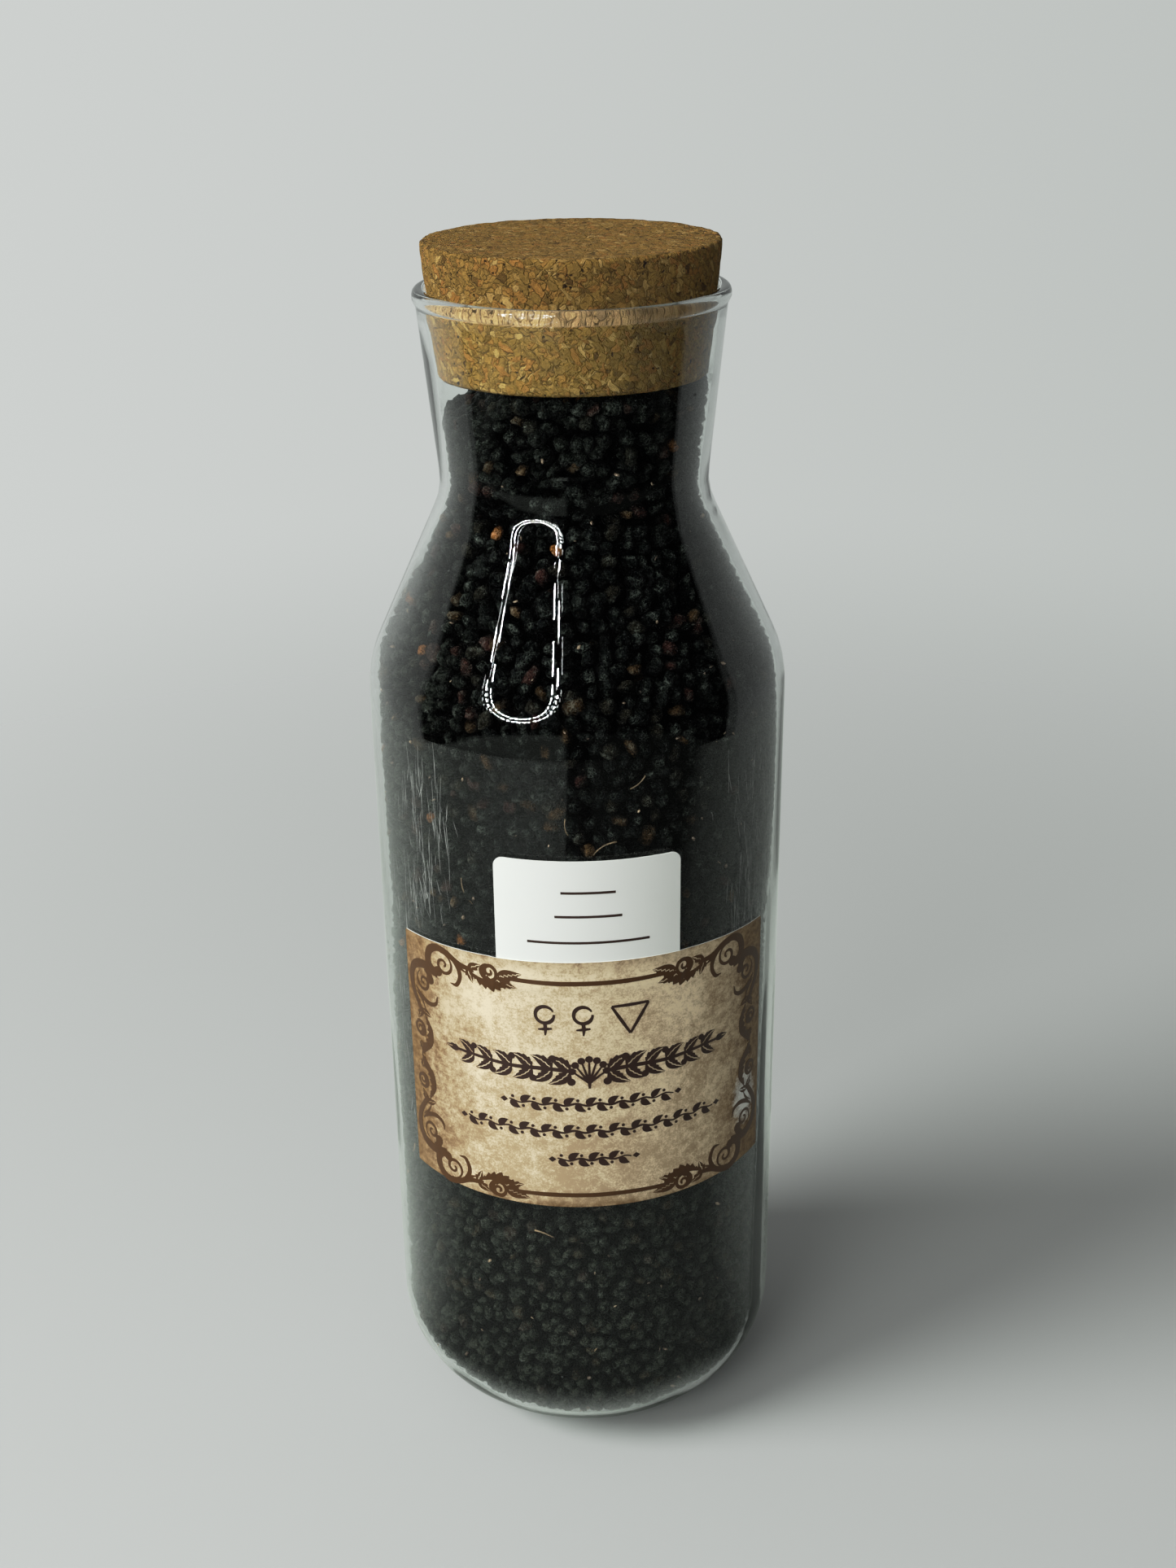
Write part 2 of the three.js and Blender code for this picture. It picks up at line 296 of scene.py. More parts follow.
def joined(shapes):
    """One shape from several (points, [quads, triangles]) shapes."""
    vertices, quads, triangles, start = [], [], [], 0
    for points, (four, three) in shapes:
        vertices.append(points)
        quads.append(four + start)
        triangles.append(three + start)
        start += len(points)
    return np.concatenate(vertices), [np.concatenate(quads), np.concatenate(triangles)]


def sheet(front, back):
    """A thin closed sheet from two grids of points that face away from each other."""
    rows, columns = front.shape[:2]
    size = rows * columns
    faces = grid_quads(rows, columns)
    number = np.arange(size).reshape(rows, columns)
    border = np.concatenate([number[0, :], number[1:, -1], number[-1, -2::-1], number[-2:0:-1, 0]])
    following = np.roll(border, -1)
    edge = np.stack([border, border + size, following + size, following], -1)
    vertices = np.concatenate([front.reshape(-1, 3), back.reshape(-1, 3)])
    return vertices, [faces, faces[:, ::-1] + size, edge]


# ------------------------------------------------------------------ noise


def hashed(cells, salt):
    """A number from 0 to 1 for each whole-numbered cell: the fraction left of a large sine."""
    mix = cells @ np.array([127.1, 311.7, 74.7]) + 269.5 * salt
    return np.abs(np.sin(mix) * 43758.5453) % 1.0


def soft_noise(points, size, salt):
    """Smooth noise from -1 to 1 with lumps of the given size, blended from the corners of a cell."""
    scaled = points / size
    cell = np.floor(scaled)
    part = scaled - cell
    part = part * part * (3 - 2 * part)
    total = np.zeros(len(points))
    for corner in np.ndindex(2, 2, 2):
        corner = np.array(corner)
        weight = np.prod(np.where(corner == 1, part, 1 - part), -1)
        total += weight * hashed(cell + corner, salt)
    return 2 * total - 1


# ------------------------------------------------------------------ the carafe's outline


def arc(centre, start, turn, step=math.radians(3)):
    """Points of an arc from start, turned about centre."""
    count = max(2, math.ceil(abs(turn) / step) + 1)
    angle = np.linspace(0, turn, count)[:, None]
    offset = start - centre
    return centre + np.cos(angle) * offset + np.sin(angle) * np.array([-offset[1], offset[0]])


def unit(vector):
    return vector / np.linalg.norm(vector)


def cross(a, b):
    return a[0] * b[1] - a[1] * b[0]


def round_corner(before, corner, after, radius):
    """The arc of the given radius that touches both runs of a corner."""
    back, ahead = unit(before - corner), unit(after - corner)
    half = math.acos(back @ ahead) / 2
    start = corner + back * radius / math.tan(half)
    centre = corner + unit(back + ahead) * radius / math.sin(half)
    return arc(centre, start, (math.pi - 2 * half) * np.sign(cross(ahead, back)))


def wall_outline(glass, inset):
    """The carafe's outline moved inwards by inset, from the axis at the foot to the neck's end.

    Each straight run shifts to its left by inset, and neighbouring runs meet in round corners.
    """
    points = np.array([
        [0, 0], [glass.body_radius, 0], [glass.body_radius, glass.shoulder_height],
        [glass.waist_radius, glass.waist_height], [glass.neck_radius, glass.neck_height],
    ])
    rounding = [0, glass.heel_rounding, glass.shoulder_rounding, glass.waist_rounding]
    along = [unit(end - start) for start, end in zip(points[:-1], points[1:])]
    inwards = [np.array([-run[1], run[0]]) * inset for run in along]
    moved = [points[0] + inwards[0]]
    for k in range(1, 4):
        start = points[k] + inwards[k - 1]
        offset = points[k] + inwards[k] - start
        reach = cross(offset, along[k]) / cross(along[k - 1], along[k])
        moved.append(start + along[k - 1] * reach)
    moved.append(points[4] + inwards[3])
    outline = [moved[:1]]
    for k in range(1, 4):
        turns_left = cross(along[k - 1], along[k]) > 0
        radius = rounding[k] + (-inset if turns_left else inset)
        outline.append(round_corner(moved[k - 1], moved[k], moved[k + 1], radius))
    outline.append(moved[4:])
    return np.concatenate(outline)


def smooth_step(share):
    """From 0 to 1 with level ends: 3 s squared less 2 s cubed, of the share kept from 0 to 1."""
    share = np.clip(share, 0, 1)
    return share * share * (3 - 2 * share)


def thinned(outline, glass):
    """Moves an inner outline outwards near the foot, where the glass is thinner."""
    ahead = unit_rows(np.gradient(outline, axis=0))
    outwards = np.stack([ahead[:, 1], -ahead[:, 0]], -1)
    share = smooth_step((THIN_BELOW - outline[:, 1:2]) / THIN_OVER)
    return outline + outwards * (glass.wall - glass.foot_wall) * share


def resampled(outline, step):
    """Points every step along an outline, in place of its own."""
    lengths = np.concatenate([[0], np.cumsum(np.linalg.norm(np.diff(outline, axis=0), axis=1))])
    places = np.linspace(0, lengths[-1], max(2, round(lengths[-1] / step) + 1))
    return np.stack([np.interp(places, lengths, outline[:, k]) for k in range(2)], -1)


# ------------------------------------------------------------------ materials


class Value:
    """What a shader node gives out. Working with it adds the Math nodes that do the work."""

    def __init__(self, socket):
        self.socket = socket
        self.tree = socket.id_data

    def math(self, operation, second=0.0, third=0.0, clamp=False):
        return calculated(operation, self, second, third, clamp)

    def times_plus(self, factor, added, clamp=False):
        return self.math("MULTIPLY_ADD", factor, added, clamp)

    def over(self, limit):
        return self.math("GREATER_THAN", limit)

    def under(self, limit):
        return self.math("LESS_THAN", limit)

    def __add__(self, other):
        return self.math("ADD", other)

    def __sub__(self, other):
        return self.math("SUBTRACT", other)

    def __rsub__(self, other):
        return calculated("SUBTRACT", other, self)

    def __mul__(self, other):
        return self.math("MULTIPLY", other)

    def __truediv__(self, other):
        return self.math("DIVIDE", other)

    def __abs__(self):
        return self.math("ABSOLUTE")


def tree_of(*parts):
    """The node tree that the first Value among some parts belongs to."""
    return next(part.tree for part in parts if isinstance(part, Value))


def set_inputs(made, inputs):
    """Gives a node's inputs their numbers and colours, or links what feeds them."""
    for name, given in inputs.items():
        if isinstance(given, Value):
            given.tree.links.new(given.socket, made.inputs[name])
        else:
            made.inputs[name].default_value = given


def node(tree, kind, inputs=None, **settings):
    """A shader node with its settings and inputs."""
    made = tree.nodes.new("ShaderNode" + kind)
    for name, setting in settings.items():
        setattr(made, name, setting)
    set_inputs(made, inputs or {})
    return made


def value(tree, kind, inputs=None, output=0, **settings):
    """What a new node gives out at one of its outputs."""
    return Value(node(tree, kind, inputs, **settings).outputs[output])


def calculated(operation, first, second=0.0, third=0.0, clamp=False):
    inputs = {0: first, 1: second, 2: third}
    return value(tree_of(first, second, third), "Math", inputs, operation=operation, use_clamp=clamp)


def blank_material(name):
    """A material with a lone Principled shader: returns it, its node tree and that shader."""
    material = bpy.data.materials.new(name)
    material.use_nodes = True
    tree = material.node_tree
    tree.nodes.clear()
    output = node(tree, "OutputMaterial")
    surface = node(tree, "BsdfPrincipled")
    tree.links.new(surface.outputs[0], output.inputs[0])
    return material, tree, surface


def ramp(share, stops, interpolation="LINEAR"):
    """The colour of a ramp through (position, colour) stops. A lone number is a grey."""
    made = node(share.tree, "ValToRGB", {"Fac": share})
    elements = made.color_ramp.elements
    made.color_ramp.interpolation = interpolation
    while len(elements) < len(stops):
        elements.new(1.0)
    for element, (position, shade) in zip(elements, stops):
        element.position = position
        element.color = [float(part) for part in np.broadcast_to(shade, 3)] + [1]
    return Value(made.outputs[0])


def mixed(share, first, second, blend="MIX"):
    """The colour between two colours, or of one laid over the other."""
    tree = tree_of(share, first, second)
    first, second = (part if isinstance(part, Value) else (*part, 1) for part in (first, second))
    return value(tree, "Mix", {0: share, 6: first, 7: second}, 2, data_type="RGBA", blend_type=blend)


def mixed_value(share, first, second):
    """The number between two numbers."""
    return value(share.tree, "Mix", {0: share, 2: first, 3: second})


def mapped(source, start, end, low, high, **settings):
    """Goes evenly from low to high as the source goes from start to end, and stays between them."""
    return value(source.tree, "MapRange", {0: source, 1: start, 2: end, 3: low, 4: high}, **settings)


def object_place(tree):
    return value(tree, "TexCoord", None, "Object")


def parts_of(place):
    """The three parts of a place or direction."""
    return [Value(part) for part in node(place.tree, "SeparateXYZ", {0: place}).outputs]


def vector(operation, first, *second, output=0):
    inputs = dict(enumerate((first, *second)))
    return value(first.tree, "VectorMath", inputs, output, operation=operation)


def noise(place, scale, detail=4.0, roughness=0.5):
    """The value of a noise texture with the given lumps to the metre."""
    inputs = {"Vector": place, "Scale": scale, "Detail": detail, "Roughness": roughness}
    return value(place.tree, "TexNoise", inputs)


def shaken(place, scale, detail, reach):
    """Places pushed about by noise, by up to half the reach each way."""
    push = value(place.tree, "TexNoise", {"Vector": place, "Scale": scale, "Detail": detail}, "Color")
    centred = vector("SUBTRACT", push, (0.5, 0.5, 0.5))
    pushed = value(place.tree, "VectorMath", {0: centred, "Scale": reach}, operation="SCALE")
    return vector("ADD", place, pushed)


def bump(height, distance, strength, surface):
    """Makes a surface uneven without moving it."""
    inputs = {"Height": height, "Distance": distance, "Strength": strength}
    set_inputs(surface, {"Normal": value(height.tree, "Bump", inputs)})


def darker(shade, share):
    return [share * part for part in shade]


def between(first, second):
    """The colour halfway between two settings."""
    return [0.5 * (a + b) for a, b in zip(first, second)]


def glass_material(glass):
    """Clear glass, which lets the lamps' light through to the berries."""
    material, tree, surface = blank_material("clear_glass")
    tint = (*glass.tint, 1)
    set_inputs(surface, {"Base Color": tint, "Transmission Weight": 1, "Roughness": 0, "IOR": 1.5})
    shadow = value(tree, "LightPath", None, "Is Shadow Ray")
    clear = value(tree, "BsdfTransparent", {"Color": tint})
    blended = value(tree, "MixShader", {0: shadow, 1: Value(surface.outputs[0]), 2: clear})
    set_inputs(tree.nodes["Material Output"], {0: blended})
    return material


def plain_material(name, scale, stops, roughness, detail=4.0):
    """A matt material whose colour wanders through a ramp's stops."""
    material, tree, surface = blank_material(name)
    shade = ramp(noise(object_place(tree), scale, detail), stops)
    set_inputs(surface, {"Base Color": shade, "Roughness": roughness})
    return material


def scuff_material():
    """Pale grey dust rubbed into the glass."""
    stops = [(0.35, (0.12, 0.125, 0.12)), (0.65, (0.34, 0.35, 0.33))]
    return plain_material("glass_scuff_dust", 300.0, stops, 0.8)


def crumb_material():
    """Broken skin and stalk, from grey-brown to tan."""
    stops = [(0.35, (0.02, 0.014, 0.01)), (0.5, (0.08, 0.05, 0.03)), (0.68, (0.30, 0.22, 0.14))]
    return plain_material("dry_crumbs", 190.0, stops, 0.6, 2.0)


def stalk_material():
    """Dry tan stalk."""
    stops = [(0.3, (0.07, 0.042, 0.02)), (0.7, (0.22, 0.15, 0.08))]
    return plain_material("dry_stalk", 500.0, stops, 0.7)


def chips(place, turn, stretch, cork):
    """One lot of cork chips: stretched cells, with the cells' random colours and their seams."""
    tree = place.tree
    mapping = {"Vector": place, "Rotation": turn, "Scale": stretch}
    turned = value(tree, "Mapping", mapping, vector_type="TEXTURE")
    cells = {"Vector": turned, "Scale": 1 / cork.chip, "Randomness": 1.0}
    own = node(tree, "SeparateColor", {0: value(tree, "TexVoronoi", cells, "Color")}).outputs
    border = value(tree, "TexVoronoi", cells, "Distance", feature="DISTANCE_TO_EDGE")
    flat = border.math("MULTIPLY", 11.0, clamp=True)
    deep = darker(cork.brown, 0.66)
    shade = ramp(Value(own[0]), [
        (0.0, cork.dark), (0.05, deep), (0.22, cork.brown), (0.42, cork.orange),
        (0.55, cork.brown), (0.76, deep), (0.86, cork.brown), (0.97, cork.pale),
    ])
    return Value(own[1]), flat, shade


def cork_material(cork):
    """Pressed cork: long bent chips of several browns laid over each other, with seams and pores."""
    material, tree, surface = blank_material("pressed_cork")
    place = object_place(tree)
    moved = shaken(place, 420.0, 3.0, 0.0022)
    _, height, shades = chips(moved, (0.3, 0.5, 0.2), (1.3, 1.0, 0.9), cork)
    lots = (
        ((0.1, -0.75, 0.2), (2.5, 0.8, 0.62), 0.5),
        ((0.2, 0.6, 1.5), (2.5, 0.8, 0.62), 0.55),
        ((0.3, 0.85, -0.4), (2.1, 0.62, 0.8), 0.7),
    )
    for turn, stretch, least in lots:
        lot, flat, shade = chips(moved, turn, stretch, cork)
        laid = lot.over(least)
        shades = mixed(laid, shades, shade)
        height = height * (1.0 - laid) + (flat + 0.3) * laid
    grain = noise(moved, 1700.0, 6.0, 0.75)
    grained = mixed(ramp(grain, [(0.35, 0.55), (0.52, 0)]), shades, cork.dark)
    lit = mixed(ramp(grain, [(0.55, 0), (0.75, 0.5)]), grained, cork.pale)
    seamed = mixed(ramp(height, [(0.0, 0.65), (0.45, 0.12), (0.9, 0)]), lit, cork.dark)
    pore = ramp(noise(place, 800.0, 2.0, 0.4), [(0.69, 0), (0.73, 1)])
    pitted = mixed(pore, seamed, darker(cork.dark, 0.35))
    # Painted light: a paler band at the glass rim's height, where the thick rim gathers light onto the cork.
    from_rim = abs(parts_of(place)[2] - cork.rim_height)
    painted_rim_light = mapped(from_rim, 0.0007, 0.0013, 0.5, 0.0)
    set_inputs(surface, {"Base Color": mixed(painted_rim_light, pitted, cork.painted_rim_light), "Roughness": 0.9,
                         "Specular IOR Level": 0.2})
    bump(height + grain * 1.2 - pore, 0.6 * MM, 1.0, surface)
    return material


def berry_material(berries):
    """Wrinkled dried skin: nearly black with paler ridges, and a few maroon, brown and rust berries.

    The tint attribute picks a berry's colour. A second attribute carries painted shade: the colour is
    lighter on each berry's outermost part and darker the deeper a point lies between its neighbours.
    Dust lies low in the heap and near its top, and the dust mixed in on its -X side is partly painted
    light, where the key lamp falls.
    """
    material, tree, surface = blank_material("dried_berry_skin")
    place = object_place(tree)
    tint = value(tree, "Attribute", None, "Fac", attribute_name="tint")
    hollow_shade = value(tree, "Attribute", None, "Fac", attribute_name="hollow_shade")
    skin = ramp(tint, [
        (0.0, berries.black), (0.40, between(berries.black, berries.grey)), (0.62, berries.grey),
        (0.78, berries.umber), (0.86, berries.maroon), (0.92, darker(berries.brown, 0.45)),
        (0.965, berries.brown), (0.988, berries.rust),
    ], "CONSTANT")
    wrinkles = {"Vector": shaken(place, 900.0, 2.0, 0.0016), "Scale": 1150.0}
    folds = value(tree, "TexVoronoi", wrinkles, "Distance", feature="DISTANCE_TO_EDGE")
    ridge = ramp(folds, [(0.0, 1), (0.09, 0.55), (0.2, 0)])
    patches = ramp(noise(place, 330.0, 4.0, 0.65), [(0.5, 0), (0.66, 1)])
    mottle = noise(place, 1100.0, 3.0)
    mottled = mixed(0.85, skin, ramp(mottle, [(0.3, 0.35), (0.70, 1.5)]), "MULTIPLY")
    paler = mixed(1.0, mixed(1.0, skin, (1.6, 1.6, 1.6), "MULTIPLY"), berries.bloom, "ADD")
    across, _, up = parts_of(place)
    low = mapped(up, 0.15, 0.06, 0.0, 0.8)
    high = mapped(up, 0.235, 0.25, 0.0, 0.18)
    # Partly dust and partly painted light: the paler mix on the -X side stands where the key lamp falls.
    left = mapped(across, -0.018, -0.044, 0.0, 0.5)
    most = low.math("MAXIMUM", high).math("MAXIMUM", left)
    dust_and_painted_light = most * ramp(mottle, [(0.36, 0.1), (0.62, 1)])
    ridged = mixed(dust_and_painted_light, mixed(ridge * patches, mottled, paler), berries.dust)
    # Painted shade: lighter on each berry's outermost part, darker the deeper a point lies between its
    # neighbours.
    painted_shade = ramp(hollow_shade, [(0.0, 1.25), (0.25, 0.8), (0.5, 0.2), (1.0, 0.02)])
    set_inputs(surface, {
        "Base Color": mixed(1.0, ridged, painted_shade, "MULTIPLY"),
        "Roughness": ramp(mottle, [(0.40, 0.13), (0.58, 0.5)]),
        "Specular IOR Level": 0.05,
    })
    crease = folds.math("MULTIPLY", 3.0, clamp=True)
    bump(crease + noise(place, 2400.0, 3.0, 0.6) * 0.8, 0.5 * MM, 1.0, surface)
    return material


def white_paper_material(labels):
    """Smooth white label paper with a faint tooth."""
    material, tree, surface = blank_material("white_label_paper")
    place = object_place(tree)
    shade = mixed(noise(place, 60.0, 3.0), labels.white, darker(labels.white, 0.94))
    set_inputs(surface, {"Base Color": shade, "Roughness": 0.42})
    bump(noise(place, 3000.0, 2.0), 0.02 * MM, 0.3, surface)
    return material


def parchment_material(labels):
    """Printed parchment: cream clouded with tan, browned towards its edges, with one whitened patch near its
    lower right.

    Its places are flat ones, in millimetres from the label's middle. The browning follows the
    distance to the nearest edge, which noise of two sizes makes wander.
    """
    material, tree, surface = blank_material("parchment_label_paper")
    flat = value(tree, "UVMap", uv_map="flat")
    across, up, _ = parts_of(flat)
    side = labels.parchment_width / 2 / MM - abs(across)
    end = labels.parchment_height / 2 / MM - abs(up)
    above = up.math("MAXIMUM", 0.0).times_plus(0.05, 5.4)
    near = (side * 0.58).math("SMOOTH_MIN", end.times_plus(2.5, above), 8.0)
    large = noise(flat, 0.09, 4.0, 0.6)
    small = noise(flat, 0.5, 8.0, 0.75)
    fibre = noise(flat, 2.0, 8.0, 0.8)
    cloud = up * 0.0013
    for lumps, share in ((large, 0.30), (small, 0.42), (fibre, 0.28)):
        cloud = lumps.times_plus(share, cloud)
    middling = between(labels.tan, labels.cream)
    paper = ramp(cloud, [(0.445, labels.tan), (0.505, middling), (0.56, labels.cream)])
    wandering = (large - 0.5).times_plus(12.0, (small - 0.5).times_plus(10.0, near))
    browned = ramp(wandering.math("DIVIDE", 17.0, clamp=True),
                   [(0.0, 1.0), (0.25, 0.88), (0.5, 0.45), (0.95, 0)])
    edge = mixed(ramp(small, [(0.40, 0), (0.62, 1)]), labels.singed, labels.umber)
    clean = mixed(browned, paper, edge)
    # A whitened patch near the label's lower right.
    stretched = vector("MULTIPLY", vector("SUBTRACT", flat, (42.5, -14.5, 0)), (1.0, 0.6, 1.0))
    from_patch = (small - 0.5).times_plus(-9.0, vector("LENGTH", stretched, output="Value"))
    whitened = ramp(from_patch.math("DIVIDE", 8.0, clamp=True), [(0.25, 0.75), (0.6, 0)])
    patchy = mixed(whitened, clean, labels.white)
    is_front = value(tree, "Attribute", None, "Fac", attribute_name="front").over(0.9)
    set_inputs(surface, {"Base Color": mixed(is_front, labels.white, patchy), "Roughness": 0.42,
                         "Specular IOR Level": 0.35})
    bump(fibre, 0.03 * MM, 0.25, surface)
    return material


def ink_material(name, ink):
    """Printed ink that has soaked in unevenly."""
    material, tree, surface = blank_material(name)
    patchy = noise(object_place(tree), 700.0, 4.0, 0.7)
    set_inputs(surface, {"Base Color": mixed(patchy, darker(ink, 0.75), darker(ink, 1.35)),
                         "Roughness": 0.4})
    return material


def mirrored_once(tree):
    """One for a ray that has been mirrored just once on its way, else nought."""
    return value(tree, "LightPath", None, "Glossy Depth").math("COMPARE", 1.0, 0.5)


def floor_material(stage):
    """Matt pale floor that thins out far from the carafe, so it has no visible end.

    For rays that have been mirrored once it is another floor: it ends sooner in front, where a
    dark room begins, and is dimmer by its direction and distance. A ring of it under the edge of
    the foot glows for rays that come through glass.
    """
    material, tree, surface = blank_material("pale_floor")
    place = object_place(tree)
    across, along, _ = parts_of(place)
    away = vector("LENGTH", place, output="Value")
    reflected = mirrored_once(tree)
    middle = mapped(across, -0.056, -0.050, 0.0, 1.0)
    aside = mapped(across, 0.040, 0.055, 0.97, 0.86)
    dim = middle * aside * mapped(along, -0.16, -0.24, 0.0, 1.0)
    behind = ramp((along / away).times_plus(1 / 1.4, 0.4 / 1.4),
                  [(0.0, 0.0), (0.43, 0.42), (0.64, 0.5), (0.88, 0.55), (0.97, 1.0)])
    far_left = mapped(away, 0.16, 0.30, 1.4, 1.0)
    far_right = mapped(away, 0.16, 0.34, 1.7, 0.8)
    beside = mixed_value(mapped(across / away, -0.3, 0.4, 0.0, 1.0), far_left, far_right)
    in_front = ramp(away / 0.3, [(0.0, 0.7), (0.155, 0.6), (0.215, 0.65 * stage.floor_mirrored),
                                 (0.87, stage.floor_mirrored)])
    level = mixed_value(reflected, 1.0, mixed_value(behind, in_front, beside))
    dimmed = (1.0 - dim * reflected) * level
    mossy = mixed(reflected, stage.floor_colour, stage.mirrored_colour)
    path = node(tree, "LightPath").outputs
    unscattered = Value(path["Diffuse Depth"]).under(0.5)
    through = Value(path["Transmission Depth"]).over(0.5)
    glow = unscattered * through * mapped(away, 0.056, 0.050, 0.0, 0.22)
    fading = mapped(away, stage.floor_solid, stage.floor_end, 1.0, 0.0, interpolation_type="SMOOTHSTEP")
    cut_off = abs(across).times_plus(ROOM_SLOPE, along).under(0.0) * reflected
    within = cut_off * (1.0 - away.over(stage.floor_front))
    set_inputs(surface, {
        "Base Color": mixed(dimmed, (0, 0, 0), mossy),
        "Emission Color": (*stage.floor_colour, 1),
        "Emission Strength": glow,
        "Roughness": 0.8,
        "Specular IOR Level": 0.1,
        "Alpha": fading * (1.0 - cut_off) + within,
    })
    return material


# ------------------------------------------------------------------ glass


def dress(made, slot, material, *nodes):
    """Gives a piece its material and says what it rides on and which nodes it replaces; slot is unused."""
    made.data.materials.append(material)
    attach(made, "root")
    if nodes:
        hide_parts(*nodes)
    return made


class CARAFE_OT_glass(bpy.types.Operator):
    """Blow the glass: one shell from the foot up to the rim and back down inside"""

    bl_idname = "carafe.glass"
    bl_label = "Glass"

    def execute(self, context):
        glass = context.scene.carafe_glass
        overhang = math.radians(40)
        turned = arc(np.zeros(2), np.array([math.cos(overhang), -math.sin(overhang)]),
                     math.pi + 2 * overhang, math.radians(8))
        rim_middle = np.array([glass.rim_radius, GLASS_BOX[1].z - glass.rim_height])
        turned = np.sign(turned) * np.abs(turned) ** 0.85
        rim = rim_middle + turned * np.array([glass.rim_width, glass.rim_height])
        outer, inner = wall_outline(glass, 0), thinned(wall_outline(glass, glass.wall), glass)[::-1]
        step = 3.5 * MM
        outer = np.concatenate([outer[:1], resampled(outer[1:], step)])
        inner = np.concatenate([resampled(inner[:-1], step), inner[-1:]])
        vertices, faces = spun(np.concatenate([outer, rim, inner]), 192)
        inside = np.zeros(len(vertices))
        first, last = len(outer) + len(rim) + 2, len(outer) + len(rim) + len(inner) - 4
        inside[(first - 1) * 192:(last - 1) * 192] = 1
        away = vertices * np.array([1, 1, 0])
        away /= np.maximum(np.linalg.norm(away, axis=1, keepdims=True), 1e-9)
        ripples = soft_noise(vertices, np.array([14, 14, 44]) * MM, 3)
        push = glass.ripple * inside * (0.5 + 0.5 * ripples)
        made = make_object("glass_shell", vertices + away * push[:, None], faces)
        dress(made, "glass", glass_material(glass), "glass_carafe")
        return {"FINISHED"}


def scuff(random, glass, angle, height, reach):
    """One hair-thin upright mark just under the glass's outer face, as a flat tapered strip."""
    share = np.linspace(-1, 1, 9)
    at = math.radians(angle) + 0.008 * random.normal() * share
    at = at + 0.003 * random.normal(size=9).cumsum() / 3
    up = height + 0.5 * reach * share
    half = random.uniform(0.03, 0.09) * MM * np.sqrt(1.02 - share ** 2) / glass.body_radius
    strip = []
    for side, depth in ((1, 0.03), (1, 0.015), (-1, 0.015), (-1, 0.03)):
        turn, radius = at + side * half, glass.body_radius - depth * MM
        strip.append(np.stack([radius * np.sin(turn), -radius * np.cos(turn), up], -1))
    return swept(np.stack(strip, 1))


# Each patch of scuffs: its middle and spread in degrees, its lowest and highest place, its count.
SCUFFS = (
    (-47, 6, 0.146, 0.184, 90), (-58, 5, 0.085, 0.150, 40),
    (57, 7, 0.135, 0.182, 80), (48, 4, 0.130, 0.160, 30),
)


class CARAFE_OT_scuffs(bpy.types.Operator):
    """Rub fine upright marks into both sides of the glass"""

    bl_idname = "carafe.scuffs"
    bl_label = "Scuffs"

    def execute(self, context):
        glass = context.scene.carafe_glass
        random = np.random.default_rng(11)
        shapes = []
        for middle, spread, low, high, count in SCUFFS:
            for _ in range(count):
                angle = middle + spread * random.normal()
                height = random.uniform(low, high)
                shapes.append(scuff(random, glass, angle, height, random.uniform(2, 13) * MM))
        made = make_object("glass_scuffs", *joined(shapes))
        dress(made, "glass", scuff_material())
        return {"FINISHED"}


# ------------------------------------------------------------------ cork


class CARAFE_OT_cork(bpy.types.Operator):
    """Turn the tapered cork and roughen it"""

    bl_idname = "carafe.cork"
    bl_label = "Cork"

    def execute(self, context):
        cork = context.scene.carafe_cork
        low, high = CORK_BOX[0].z, CORK_BOX[1].z
        bottom_radius, top_radius = 29.6 * MM, CORK_BOX[1].x
        bevel = 0.5 * MM
        corners = np.array([
            [0, low], [bottom_radius - bevel, low], [bottom_radius, low + bevel],
            [top_radius, high - bevel], [top_radius - bevel, high], [0, high],
        ])
        step = 0.75 * MM
        runs = [resampled(corners[k:k + 2], step)[:-1] for k in range(5)] + [corners[-1:]]
        profile = np.concatenate(runs)
        vertices, faces = spun(profile, 256)
        middle = np.array([0, 0, (low + high) / 2])
        inwards = unit_rows(middle - vertices)
        pits = 0.5 - 0.5 * soft_noise(vertices, cork.chip * 0.8, 5)
        lumps = 0.5 - 0.5 * soft_noise(vertices, cork.chip * 2.6, 6)
        radius = np.hypot(vertices[:, 0], vertices[:, 1])
        from_edge = np.hypot(radius - top_radius, vertices[:, 2] - high)
        crumbled = 1 + 1.6 * np.exp(-(from_edge / (1.0 * MM)) ** 2)
        depth = cork.roughening * crumbled * (0.6 * pits ** 2 + 0.8 * lumps)
        made = make_object("cork_plug", vertices + inwards * depth[:, None], faces)
        dress(made, "cork", cork_material(cork), "cork_stopper")
        return {"FINISHED"}


def unit_rows(vectors):
    """Each row of an array at length one."""
    return vectors / np.maximum(np.linalg.norm(vectors, axis=-1, keepdims=True), 1e-12)


# ------------------------------------------------------------------ berries


def heap_outline(glass, inset):
    """The heap's outline at a depth below the glass: up the wall to its top and in to the axis."""
    wall = thinned(wall_outline(glass, glass.wall + inset), glass)
    top = FILL_BOX[1].z - inset
    start, end = wall[-2], wall[-1]
    edge = start + (end - start) * (top - start[1]) / (end[1] - start[1])
    middle = np.array([0, top])
    return np.concatenate([wall[:-1], round_corner(start, edge, middle, 2 * MM), middle[None]])


def settled(points, depth):
    """Lowers the heap near its top on the -X side, by a smooth step across and a smooth step up."""
    rise = smooth_step((points[:, 2] - SINK_ABOVE) / (FILL_BOX[1].z - SINK_ABOVE))
    side = smooth_step((-points[:, 0] - SINK_FROM) / SINK_OVER)
    drop = depth * rise * side
    radius = np.maximum(np.linalg.norm(points[:, :2], axis=1), 1e-6)
    narrower = (radius - 0.1 * drop) / radius
    return np.column_stack([points[:, :2] * narrower[:, None], points[:, 2] - drop])


def followed(line, at):
    """The rows of an array of pairs at some places along it, counted in rows."""
    return np.stack([np.interp(at, np.arange(len(line)), line[:, k]) for k in range(2)], -1)


